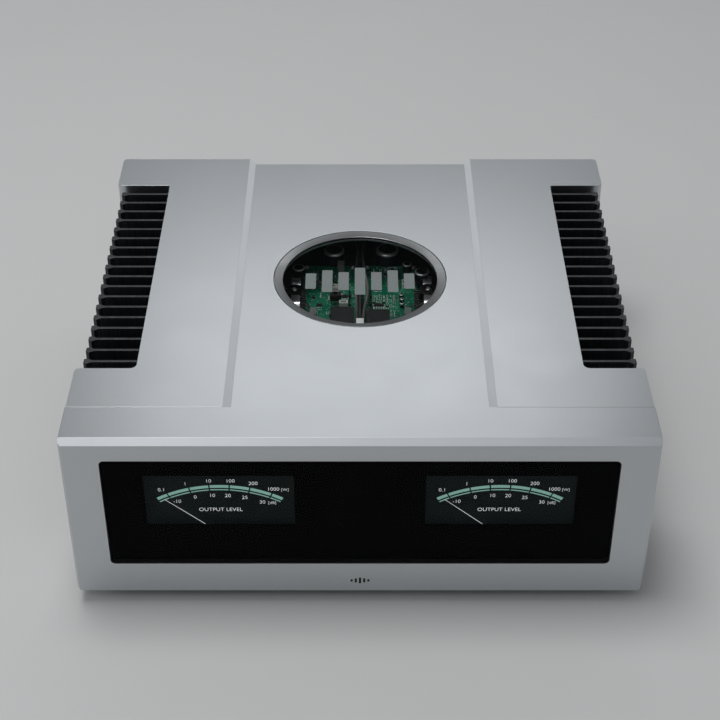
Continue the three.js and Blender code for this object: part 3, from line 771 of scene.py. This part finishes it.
# x, y, radius and top of each can, on the shelf or on the boards
shelfCans = ((-24.2, 103.8, 10.0, 127.4), (25.7, 105.0, 11.2, 127.4), (57.3, 71.0, 7.0, 125.0),
             (-57.0, 82.0, 6.0, 122.0))
boardCans = ((38.0, 28.0, 2.2, 119.0), (38.2, 35.0, 2.2, 119.0), (37.8, 42.0, 2.2, 119.0),
             (-40.0, -46.0, 8.0, 126.0), (40.0, -46.0, 8.0, 126.0), (-20.0, -50.0, 5.0, 122.0),
             (20.0, -50.0, 5.0, 122.0), (-38.0, -8.0, 3.2, 121.0), (37.0, -8.0, 3.2, 121.0),
             (44.0, 88.0, 4.5, 122.0))


def makeCans():
    cans = bmesh.new()
    for x, y, radius, high in shelfCans + boardCans:
        low = shelfTop if (x, y, radius, high) in shelfCans else boardTop
        addCan(cans, x, y, low + 0.05, high, radius)
    finishPiece("board_capacitors", cans, [finishes["sleeve"], finishes["canTop"], finishes["chip"]])


# x span and two y spans of the straps at each side, then the place of the washer between them
strapLook = {
    "left": ((-63.0, -54.5), ((56, 67), (23, 39)), (-60.0, 47.0)),
    "right": ((58.0, 66.0), ((57, 70), (25, 39)), (62.5, 48.0)),
    "top": 120.5, "shoulder": 6.5, "washer": 8.4, "screw": 2.9,
}


def makeStraps():
    # bent supply straps with rounded shoulders, and round washers between them, beside the boards
    bars, discs = bmesh.new(), bmesh.new()
    foot, high, shoulder = shelfTop + 0.02, strapLook["top"], strapLook["shoulder"]
    rim = strapLook["washer"]
    turns = [math.radians(10 * i) for i in range(10)]
    for side in ("left", "right"):
        (x0, x1), spans, (x, y) = strapLook[side]
        for y0, y1 in spans:
            outline = [(y1 - 0.6, high), (y1, high - 0.6), (y1, foot), (y0, foot)]
            outline += [(y0 + shoulder * (1 - math.cos(a)), high - shoulder * (1 - math.sin(a)))
                        for a in turns]
            addPrism(bars, outline, x0, x1, "x")
        profile = [(0, foot), (rim, foot), (rim, high - 1.5), (rim + 0.5, high - 1.1),
                   (rim + 0.5, high - 0.3), (rim, high), (rim / 2, high), (rim / 2 - 0.2, high - 0.6),
                   (0, high - 0.6)]
        addLathe(discs, profile, (x, y, 0), "z", 48)
        addScrew(discs, (x, y, high - 0.6), strapLook["screw"], "z", 1, 1)
    finishPiece("supply_straps", bars, [finishes["strap"]], bevel=0.25)
    finishPiece("strap_washers", discs, [finishes["chip"], finishes["tin"]])


connectorLook = {
    "strip": (49.4, 53.6), "stripDeep": (4, 46), "teeth": 11, "first": 6.2, "pitch": 3.7,
    # x, y, width, depth and height of each plug
    "plugs": ((-15, 28.5, 7.5, 5.0, 6.0), (-23, 56, 8.0, 4.2, 4.6), (19, -32, 10.0, 5.0, 6.0),
              (-19, -32, 10.0, 5.0, 6.0), (41, 62, 4.6, 8.0, 5.0)),
}


def makeConnectors():
    # toothed strips at the outer edges of the boards, and plugs with pins
    look = connectorLook
    strips = bmesh.new()
    for sign in (-1, 1):
        inner, outer = (sign * reach for reach in look["strip"])
        addBlock(strips, sorted((inner, outer)), look["stripDeep"], (boardTop + 0.02, boardTop + 3.4))
        for i in range(look["teeth"]):
            y = look["first"] + look["pitch"] * i
            addBlock(strips, sorted((inner, outer)), (y, y + 1.9), (boardTop + 3.4, boardTop + 7.6))
            addBlock(strips, sorted((inner + sign * 1.6, inner + sign * 2.4)), (y + 2.4, y + 3.2),
                     (boardTop + 3.4, boardTop + 6.4), 1)
    finishPiece("edge_connectors", strips, [finishes["plastic"], finishes["tin"]], bevel=0.12)
    plugs = bmesh.new()
    for x, y, wide, deep, tall in look["plugs"]:
        addBlock(plugs, around(x, wide), around(y, deep), (boardTop + 0.02, boardTop + 1.2))
        # the four walls, as shares of the plug's width and depth
        for u0, u1, v0, v1 in ((0, 1, 0, 0.16), (0, 1, 0.84, 1), (0, 0.12, 0.16, 0.84),
                               (0.88, 1, 0.16, 0.84)):
            addBlock(plugs, (x + wide * (u0 - 0.5), x + wide * (u1 - 0.5)),
                     (y + deep * (v0 - 0.5), y + deep * (v1 - 0.5)), (boardTop + 1.2, boardTop + tall))
        for pin in range(3):
            at = x + wide * 0.24 * (pin - 1)
            addBlock(plugs, around(at, 0.6), around(y, 0.6), (boardTop + 1.2, boardTop + tall - 0.6), 1)
    finishPiece("board_plugs", plugs, [finishes["nylon"], finishes["tin"]], bevel=0.1)


def addTransistor(bm, x, y, turn):
    # a standing power transistor: resin body, bolted tab and three legs; turn is +1 or -1 for the tab's side
    addBlock(bm, around(x, 10.2), around(y, 3.2), (boardTop + 4.0, boardTop + 10.4), 0)
    back = y + turn * 1.62
    tab = ((-5.1, 4.2), (5.1, 4.2), (5.1, 12.2), (3.8, 13.0), (-3.8, 13.0), (-5.1, 12.2))
    addPrism(bm, [(x + u, boardTop + v) for u, v in tab], *sorted((back, back + turn * 1.2)), axis="y", ink=1)
    addScrew(bm, (x, back - turn * 0.02, boardTop + 11.4), 1.5, "y", -turn, 2)
    for leg in (-2.5, 0, 2.5):
        addBlock(bm, around(x + leg, 0.8), around(y, 0.6), (boardTop + 0.02, boardTop + 4.0), 1)


# x, y and the tab's side of each transistor
transistorPlaces = ((-22.2, 33.0, 1), (30.0, 72.0, 1), (-32.0, -24.0, -1), (32.0, -24.0, -1))


def makeTransistors():
    parts = bmesh.new()
    for x, y, turn in transistorPlaces:
        addTransistor(parts, x, y, turn)
    finishPiece("power_transistors", parts, [finishes["chip"], finishes["tin"], finishes["blackScrew"]],
                bevel=0.12)


# x span, y span and height of each box capacitor
filmPlaces = ((-21, -14.5, 84, 93, 8), (-46, -38, 60, 64, 9), (-46, -38, 67, 71, 9), (12, 20, 62, 66, 7),
              (12, 20, 69, 73, 7), (40, 46, 4, 15, 9), (-45, -39, 4, 15, 9))


def makeFilmCapacitors():
    boxes = bmesh.new()
    for x0, x1, y0, y1, tall in filmPlaces:
        low = boardTop + 0.02
        addPrism(boxes, roundedOutline((x0, x1), (y0, y1), 0.8, 3), low + 0.6, low + tall)
        addBlock(boxes, (x0 + 1, x1 - 1), (y0 + 1, y1 - 1), (low, low + 0.6))
    finishPiece("film_capacitors", boxes, [finishes["film"]], bevel=0.3)


smallLook = {
    # x span, y span, pitch and share of places filled, for each field of chip resistors
    "fields": (((11, 33.5), (12, 49), (3.1, 2.9), 0.9), ((-44, -33), (8, 54), (3.2, 2.9), 0.4),
               ((-31, -9), (8, 22), (3.0, 2.6), 0.45), ((-30, -8), (38, 52), (3.0, 2.6), 0.5),
               ((-31, -8), (60, 80), (3.2, 2.8), 0.4), ((22, 40), (76, 92), (3.2, 2.8), 0.35),
               ((8, 28), (80, 94), (3.2, 2.8), 0.35), ((-44, -10), (-60, -56), (3.0, 2.6), 0.6),
               ((10, 44), (-60, -56), (3.0, 2.6), 0.6), ((-47, -30), (-40, -28), (3.0, 2.8), 0.55),
               ((28, 47), (-40, -28), (3.0, 2.8), 0.55)),
    "long": 1.7, "wide": 0.95, "lengthwise": 0.6, "ceramic": 0.14, "threeLegged": 0.06,
    # x, y and legs along one side of each gull-wing chip
    "chips": ((16, 56, 5), (-20, 26, 4), (-37, 30, 4), (17, 30, 7), (30, 57, 4), (-27, 70, 4), (-14, 44, 4)),
    "legPitch": 1.28,
}


def makeSmallParts():
    # chip resistors, ceramic capacitors and small transistors in rows on the boards
    look = smallLook
    parts = bmesh.new()
    low = boardTop + 0.02
    for (x0, x1), (y0, y1), (dx, dy), share in look["fields"]:
        for i in range(int((x1 - x0) / dx)):
            for j in range(int((y1 - y0) / dy)):
                draw = chance.random()
                if draw > share:
                    continue
                x, y = x0 + dx * (i + 0.5), y0 + dy * (j + 0.5)
                lengthwise = chance.random() < look["lengthwise"]
                long, wide = (look["long"], look["wide"]) if lengthwise else (look["wide"], look["long"])
                body = 1 if chance.random() < look["ceramic"] else 0
                tall = 0.95 if body else 0.55
                if draw < look["threeLegged"]:
                    addBlock(parts, around(x, 2.6), around(y, 1.6), (low + 0.2, low + 1.4))
                    for leg in (-0.9, 0, 0.9):
                        addBlock(parts, around(x + leg, 0.4), around(y, 2.4), (low, low + 0.3), 2)
                    continue
                addBlock(parts, around(x, long), around(y, wide), (low, low + tall), body)
                for end in (-1, 1):
                    u, v = (x - long * 0.52, x + long * 0.52), (y - wide * 0.52, y + wide * 0.52)
                    if lengthwise:
                        u = sorted((x + end * long * 0.28, x + end * long * 0.54))
                    else:
                        v = sorted((y + end * wide * 0.28, y + end * wide * 0.54))
                    addBlock(parts, u, v, (low - 0.01, low + tall + 0.03), 2)
    for x, y, count in look["chips"]:
        half = look["legPitch"] / 2 * count
        addBlock(parts, (x - half, x + half), around(y, 3.8), (low + 0.15, low + 1.7))
        for pin in range(count):
            at = x - half + look["legPitch"] * (pin + 0.5)
            addBlock(parts, around(at, 0.4), around(y, 6), (low, low + 0.35), 2)
    for sign in (-1, 1):
        # low heat spreaders beside the divider
        for y0 in (13, 26, 39):
            addBlock(parts, sorted((sign * 8.6, sign * 10.4)), (y0, y0 + 10.5), (low, low + 4.5))
    finishPiece("small_parts", parts, [finishes["chip"], finishes["ceramic"], finishes["solder"]])


# start x, y, end x, y and rise of each pair of hook-up wires
wirePlaces = ((-23, 56, -50, 62, 5), (41, 62, 55, 64, 5), (19, -32, 46, -22, 7), (-19, -32, -46, -22, 7),
              (44, 20, 55, 30, 5), (-44, 20, -54, 30, 5))


def makeLeads():
    # short insulated wires between plugs and straps, and the clip that holds the signal leads
    wires = bmesh.new()
    steps = [i / 14 for i in range(15)]
    for x0, y0, x1, y1, high in wirePlaces:
        for lane, ink in ((-0.9, 0), (0.9, 1)):
            path = []
            for t in steps:
                rise = high * math.sin(math.pi * min(1, t * 1.05))
                path.append((x0 + (x1 - x0) * t, y0 + lane + (y1 - y0) * t * t, boardTop + 2.6 + rise))
            addTube(wires, path, 0.75, 8, ink)
    finishPiece("hook_up_wires", wires, [finishes["lead"], finishes["chip"]])
    clip = bmesh.new()
    top = spanOf("center_divider")[1].z
    deep = (-19, -9)
    addBlock(clip, (-3.3, 3.3), deep, (top + 0.02, top + 1.1))
    for sign in (-1, 1):
        addBlock(clip, sorted((sign * 0.85, sign * 1.5)), deep, (top - 2.0, top + 0.02))
    finishPiece("divider_clip", clip, [finishes["solder"]], bevel=0.2)


def makeStandoffs():
    # pillars and screws under the boards' corners
    posts = bmesh.new()
    for side in ("left", "right"):
        low, high = spanOf("amp_board_" + side)
        for x in (low.x + 3.2, high.x - 3.2):
            for y in (low.y + 3.2, high.y - 3.2):
                addLathe(posts, [(0, shelfTop + 0.02), (2.6, shelfTop + 0.02, hexagon),
                                 (2.6, low.z - 0.02, hexagon), (0, low.z - 0.02)], (x, y, 0), "z", 24)
                addScrew(posts, (x, y, high.z + 0.02), 2.4)
    finishPiece("board_standoffs", posts, [finishes["tin"]])


for make in (makeCans, makeStraps, makeConnectors, makeTransistors, makeFilmCapacitors, makeSmallParts,
             makeLeads, makeStandoffs):
    make()
print("inside done")

# rear

rearLook = {"lathe": 56, "flutes": 20, "fluteDepth": 0.045}


def fluted(angle):
    return 1 - rearLook["fluteDepth"] * (0.5 + 0.5 * math.cos(rearLook["flutes"] * angle)) ** 2


def numbered(part, i):
    return part + "_" + str(i)


def rearFace():
    # the connectors' flanges stand on the rear panel with a thin gasket
    return spanOf("rear_panel")[1].y + 0.3


def makePost(i):
    # stud and flange, clamp collar and fluted knob of one speaker terminal, with its coloured ring
    base, clamp, cap = (numbered(part, i) for part in ("post_base", "clamp_collar", "post_knob"))
    low, high = spanOf(base)
    centre = (middleOf(base).x, 0, middleOf(base).z)
    steps = rearLook["lathe"]
    face = rearFace()
    stud = bmesh.new()
    profile = [(0, low.y), (2.8, low.y), (2.95, low.y + 0.3), (2.95, face - 7), (4.9, face - 7), (4.9, face),
               (9.2, face), (9.45, face + 0.3), (9.45, face + 1.0), (9.0, face + 1.4), (9.45, face + 1.8),
               (9.45, face + 2.6), (9.1, face + 2.98), (2.98, face + 2.98)]
    thread = face + 3.4
    while thread < high.y - 1.2:
        profile += [(2.98, thread), (2.78, thread + 0.3), (2.98, thread + 0.6)]
        thread += 0.9
    profile += [(2.98, high.y - 0.3), (2.7, high.y), (2.12, high.y), (2.12, face + 6.1), (0, face + 6.0)]
    addLathe(stud, profile, centre, "y", steps)
    finishPiece(numbered("post_stud", i), stud, [finishes["gold"]],
                stands=(base,))
    low, high = spanOf(clamp)
    collar = bmesh.new()
    profile = [(3.38, low.y), (7.9, low.y), (8.15, low.y + 0.25), (8.15, high.y - 0.25), (7.9, high.y),
               (3.38, high.y), (3.38, low.y)]
    addLathe(collar, profile, centre, "y", steps)
    bmesh.ops.remove_doubles(collar, verts=collar.verts, dist=1e-4)
    finishPiece(numbered("post_collar", i), collar, [finishes["gold"]], clamp, (clamp,))
    low, high = spanOf(cap)
    outer = (high.x - low.x) / 2 - 0.02
    knob = bmesh.new()
    profile = [(3.38, low.y), (7.9, low.y), (7.9, low.y + 2.2), (8.3, low.y + 2.7)]
    profile += [(outer - 0.5, low.y + 3.3), (outer, low.y + 3.9, fluted), (outer, high.y - 4.2, fluted),
                (outer - 0.45, high.y - 3.7)]
    profile += [(outer - 0.6, high.y - 3.2), (outer - 0.45, high.y - 2.7), (outer - 0.1, high.y - 2.3),
                (outer - 0.1, high.y - 1.3), (outer - 1.2, high.y - 0.2), (outer - 1.6, high.y),
                (4.4, high.y), (3.9, high.y - 0.5), (3.38, high.y - 0.8), (3.38, low.y)]
    addLathe(knob, profile, centre, "y", rearLook["flutes"] * 8)
    bmesh.ops.remove_doubles(knob, verts=knob.verts, dist=1e-4)
    finishPiece(numbered("post_cap", i), knob, [finishes["gold"]], cap, (cap,))
    band = bmesh.new()
    addLathe(band, [(8.02, low.y + 0.5), (8.32, low.y + 0.6), (8.32, low.y + 1.8), (8.02, low.y + 1.9),
                    (8.02, low.y + 0.5)], centre, "y", steps)
    bmesh.ops.remove_doubles(band, verts=band.verts, dist=1e-4)
    ring = finishes["redRing"] if i % 2 else finishes["chip"]
    finishPiece(numbered("post_ring", i), band, [ring], cap)


for i in range(1, 5):
    makePost(i)


xlrLook = {
    "corner": 2.5, "hole": 10.9, "shell": (9.95, 11.6), "steps": 60, "contacts": 4.4,
    "notch": (3.25, 10.41, 14.25),  # half its width, its foot and its top above the middle
    "screws": (9.6, 12.2),
}


def makeXlr(side):
    # balanced input: plate with round corners, shell, insert with three contact holes, two screws
    node = "xlr_socket_" + side
    low, high = spanOf(node)
    x, z = middleOf(node).x, middleOf(node).z
    face = rearFace()
    plate = face + 2.2
    look = xlrLook
    steps = look["steps"]
    slotHalf = math.degrees(math.asin(3.3 / 11.7))
    turns = [math.radians(90 + slotHalf + (360 - 2 * slotHalf) * i / steps) for i in range(steps + 1)]
    shell = bmesh.new()
    outline = roundedOutline((low.x, high.x), (low.z, high.z), look["corner"])
    rim = [(x + look["hole"] * math.cos(a), z + look["hole"] * math.sin(a)) for a in turns]
    wide, foot, top = look["notch"]
    rim += [(x + wide, z + foot), (x + wide, z + top), (x - wide, z + top), (x - wide, z + foot)]
    # the plate is one outline that runs in to the hole and back out at a hidden seam
    seam = 45
    gaps = [math.dist(corner, rim[seam]) for corner in outline]
    nearest = gaps.index(min(gaps))
    wrapped = outline[nearest:] + outline[:nearest + 1]
    inner = rim[seam:] + rim[:seam + 1]
    addPrism(shell, wrapped + inner[::-1], face, plate, "y")
    inside, outside = look["shell"]
    collar = [(x + outside * math.cos(a), z + outside * math.sin(a)) for a in turns]
    collar += [(x + inside * math.cos(a), z + inside * math.sin(a)) for a in reversed(turns)]
    addPrism(shell, collar, face - 17.8, face + 3.9, "y")
    finishPiece("xlr_shell_" + side, shell, [finishes["nickel"]], stands=(node,),
                bevel=0.2)
    insert = bmesh.new()
    addLathe(insert, [(0, face - 17.6), (11.5, face - 17.6), (11.5, face - 8.8), (8.5, face - 8.8),
                      (8.5, face + 2.4), (8.1, face + 2.8), (0, face + 2.8)], (x, 0, z), "y", steps)
    for degrees in (90, 210, 330):
        angle = math.radians(degrees)
        at = (x + look["contacts"] * math.cos(angle), 0, z - look["contacts"] * math.sin(angle))
        addLathe(insert, [(0, face + 2.82), (1.25, face + 2.82), (1.25, face + 2.86), (1.5, face + 2.86),
                          (1.75, face + 2.82)], at, "y", 24, 1)
        addLathe(insert, [(0, face + 2.83), (1.2, face + 2.83)], at, "y", 24, 2)
    finishPiece("xlr_insert_" + side, insert, [finishes["plastic"], finishes["gold"], finishes["mask"]])
    screws = bmesh.new()
    for sign in (-1, 1):
        across, down = look["screws"]
        addScrew(screws, (x + sign * across, plate + 0.02, z - sign * down), 1.9, "y")
    finishPiece("xlr_screws_" + side, screws, [finishes["blackScrew"]])
    workedCopy("xlr_latch_" + side, finishes["plastic"], 0.3)


for side in ("left", "right"):
    makeXlr(side)


def makeRca():
    # unbalanced inputs: a plate with two gold barrels on coloured insulators
    low, high = spanOf("rca_block")
    face = rearFace()
    z = middleOf("rca_block").z
    plate = bmesh.new()
    addPrism(plate, roundedOutline((low.x, high.x), (low.z, high.z), 2.0), face, face + 2.0, "y")
    addPrism(plate, roundedOutline((low.x + 3.8, high.x - 3.8), around(z, 15.4), 1.7, 4), low.y,
             face - 0.02, "y")
    finishPiece("rca_plate", plate, [finishes["nickel"]], stands=("rca_block",),
                bevel=0.25)
    jacks = bmesh.new()
    for x, ring in ((-10, 2), (10, 1)):
        at = (x, 0, z)
        addLathe(jacks, [(4.2, face + 2.02), (6.9, face + 2.02), (6.9, face + 2.5), (6.5, face + 2.9),
                         (4.2, face + 2.9)], at, "y", rearLook["lathe"], ring)
        barrel = [(4.15, face + 2.9), (5.9, face + 2.9), (5.9, face + 3.4), (5.5, face + 3.6),
                  (4.12, face + 3.7), (4.12, high.y - 0.6), (3.8, high.y), (3.0, high.y),
                  (2.9, high.y - 0.4), (2.9, face + 4)]
        addLathe(jacks, barrel, at, "y", rearLook["lathe"])
        addLathe(jacks, [(0, face + 3.8), (2.88, face + 3.8), (2.88, high.y - 0.9), (1.75, high.y - 0.9),
                         (1.7, face + 4.5), (0, face + 4.5)], at, "y", 40, 3)
    finishPiece("rca_jacks", jacks, [finishes["gold"], finishes["redRing"], finishes["whiteRing"],
                                     finishes["nylon"]])
    screws = bmesh.new()
    for sign in (-1, 1):
        addScrew(screws, (sign * 18.4, face + 2.02, z), 1.7, "y")
    finishPiece("rca_screws", screws, [finishes["blackScrew"]])


makeRca()

inletLook = {"blades": ((-7, 40), (7, 40), (0, 44)), "skin": 0.04, "tip": 199}


def makeMains():
    # inlet and fuse drawer, with metal blades and fixing screws
    workedCopy("inlet_module", finishes["plastic"], 0.3)
    workedCopy("fuse_drawer", finishes["plastic"], 0.25)
    face = spanOf("inlet_module")[1].y
    floor = spanOf("rear_panel")[1].y - 12.4
    skin = inletLook["skin"]
    blades = bmesh.new()
    for x, z in inletLook["blades"]:
        blade = roundedOutline((x - 1 - skin, x + 1 + skin), (z - 2 - skin, z + 2 + skin), 0.4, 3)
        addPrism(blades, blade, floor + 0.05, inletLook["tip"] + skin, "y")
    finishPiece("inlet_blades", blades, [finishes["tin"]], bevel=0.3)
    screws = bmesh.new()
    for sign in (-1, 1):
        addScrew(screws, (sign * 17.2, face + 0.02, 54.8), 1.7, "y")
    finishPiece("inlet_screws", screws, [finishes["blackScrew"]])


rockerLook = {"tilt": -12, "proud": 4.0, "hollow": 1.9, "tall": 18.2, "steps": 12, "mark": 5.2}


def makeRocker():
    # the rocker's face is hollowed for a finger, and carries a bar and a ring
    look = rockerLook
    joint = next(j for j in frame["joints"] if j["name"] == "mains_rocker_tilt")
    pivot = Vector(joint["pos_m"]) / mm
    low, high = spanOf("mains_rocker")
    tilt = math.radians(look["tilt"])
    end = look["tall"] / 2

    def turned(out, up):
        return (pivot.y + out * math.cos(tilt) - up * math.sin(tilt),
                pivot.z + out * math.sin(tilt) + up * math.cos(tilt))

    def hollowAt(up):
        return look["proud"] - look["hollow"] * math.sin(math.pi * (end - up) / look["tall"])

    heights = [end - look["tall"] * i / look["steps"] for i in range(1, look["steps"])]
    face = [(look["proud"], end), *((hollowAt(up), up) for up in heights), (look["proud"], -end)]
    rocker = bmesh.new()
    addPrism(rocker, [turned(*point) for point in (*face, (-3.5, -7.8), (-3.5, 7.8))],
             low.x + 0.02, high.x - 0.02, "x")
    finishPiece("rocker_cap", rocker, [finishes["plastic"]], "mains_rocker",
                ("mains_rocker",), 0.35)
    marks = bmesh.new()
    y, z = turned(hollowAt(look["mark"]) + 0.02, look["mark"])
    addBlock(marks, (-0.25, 0.25), (y - 0.15, y + 0.12), around(z, 3))
    y, z = turned(hollowAt(-look["mark"]) + 0.02, -look["mark"])
    circle = [(1.0, y - 0.15), (1.5, y - 0.15), (1.5, y + 0.12), (1.0, y + 0.12), (1.0, y - 0.15)]
    addLathe(marks, circle, (0, 0, z), "y", 32)
    bmesh.ops.remove_doubles(marks, verts=marks.verts, dist=1e-4)
    finishPiece("rocker_marks", marks, [inks["rearMark"]], "mains_rocker")


makeMains()
makeRocker()


def makePolarityMarks():
    # plus and minus signs printed over the speaker posts
    face = spanOf("rear_panel")[1].y
    marks = bmesh.new()
    for i in range(1, 5):
        x, z = middleOf(numbered("post_base", i)).x, middleOf(numbered("post_base", i)).z + 15  # above it
        addBlock(marks, around(x, 4), (face + 0.01, face + 0.05), around(z, 0.7))
        if i % 2:
            addBlock(marks, around(x, 0.7), (face + 0.02, face + 0.06), around(z, 4))
    finishPiece("polarity_marks", marks, [inks["rearMark"]])


makePolarityMarks()
print("rear done")


footLook = {"pad": 16.0, "groove": 0.5}


def makeFeet():
    # a turned foot with a rubber pad let into it and a screw up its middle
    for i in range(1, 5):
        node = "foot_" + str(i)
        low, high = spanOf(node)
        centre = (middleOf(node).x, middleOf(node).y, 0)
        wide, pad = (high.x - low.x) / 2 - 0.02, footLook["pad"]
        waist = wide - footLook["groove"]
        foot = bmesh.new()
        profile = [(5.0, 2.6), (pad + 0.3, 2.6), (wide - 0.6, 3.0), (wide, 3.6), (wide, 8.4), (waist, 8.9),
                   (waist, 9.5), (wide, 10.0), (wide, high.z - 0.5), (wide - 0.5, high.z), (0, high.z)]
        addLathe(foot, profile, centre, "z", 72)
        addLathe(foot, [(0, 2.62), (5.0, 2.6)], centre, "z", 72)
        rubber = [(4.4, 2.7), (4.4, 0.5), (4.9, 0), (pad - 1.0, 0), (pad, 0.8), (pad, 2.7)]
        addLathe(foot, rubber, centre, "z", 72, 1)
        addScrew(foot, (centre[0], centre[1], 2.58), 3.2, "z", -1, 2)
        finishPiece(node + "_turned", foot, [finishes["plastic"], finishes["rubber"], finishes["blackScrew"]],
                    stands=(node,))


makeFeet()
print("feet done")

# studio

studio = {
    "camera": (0, -1.1646, 0.9445), "pitch": 53.26, "lens": 80.06,
    "floor": (0.62, 0.62, 0.615), "floorHalf": 6.0, "sky": (0.22, 0.23, 0.24),
}


def makeStudio():
    eye = bpy.data.objects.new("camera", bpy.data.cameras.new("camera"))
    bpy.context.scene.collection.objects.link(eye)
    eye.location = studio["camera"]
    eye.rotation_euler = (math.radians(studio["pitch"]), 0, 0)
    eye.data.lens = studio["lens"]
    eye.data.sensor_width = 36
    eye.data.clip_start = 0.01
    bpy.context.scene.camera = eye
    half = studio["floorHalf"]
    ground = bmesh.new()
    signs = ((-1, -1), (1, -1), (1, 1), (-1, 1))
    ground.faces.new([ground.verts.new((half * u, half * v, 0)) for u, v in signs])
    mesh = bpy.data.meshes.new("floor")
    ground.to_mesh(mesh)
    ground.free()
    mesh.materials.append(finishOf("studio paper", {"color": studio["floor"], "rough": (0.75, 0.85),
                                                    "drift": 0.03, "grain": (600.0, 0.02)}))
    floor = bpy.data.objects.new("floor", mesh)
    bpy.context.scene.collection.objects.link(floor)


# place, aim point, width and height in m, and power of each softbox
softboxes = {
    "back": ((0.0, 2.12, 1.88), (0, 0, 0.17), (1.25, 0.5), 3.25),
    "front": ((-0.85, -1.3, 1.95), (0, 0, 0.1), (1.3, 0.9), 4.0),
    "fill": ((0.1, -1.55, 2.0), (0, 0, 0.1), (1.0, 0.6), 1.8),
    "top": ((-0.35, 0.1, 2.35), (-0.05, 0, 0.1), (0.9, 0.9), 24.0),
    "left": ((-2.2, -0.6, 1.1), (0, 0, 0.1), (1.2, 1.2), 4.0),
    "grooveLeft": ((-1.6, 2.4, 0.55), (0, 0, 0.17), (1.2, 0.9), 2.7),
    "grooveRight": ((1.6, 2.4, 0.55), (0, 0, 0.17), (1.2, 0.9), 2.7),
}


def makeLights():
    for name, (place, aim, size, power) in softboxes.items():
        lamp = bpy.data.lights.new(name, "AREA")
        lamp.shape = "RECTANGLE"
        lamp.size, lamp.size_y = size
        lamp.energy = power
        holder = bpy.data.objects.new(name, lamp)
        bpy.context.scene.collection.objects.link(holder)
        holder.visible_camera = False
        holder.location = place
        holder.rotation_euler = (Vector(aim) - Vector(place)).to_track_quat("-Z", "Y").to_euler()
    sky = bpy.data.worlds.new("studio")
    sky.use_nodes = True
    sky.node_tree.nodes["Background"].inputs["Color"].default_value = (*studio["sky"], 1)
    bpy.context.scene.world = sky
    bpy.context.scene.view_settings.view_transform = "Standard"


makeStudio()
makeLights()
print("studio done")
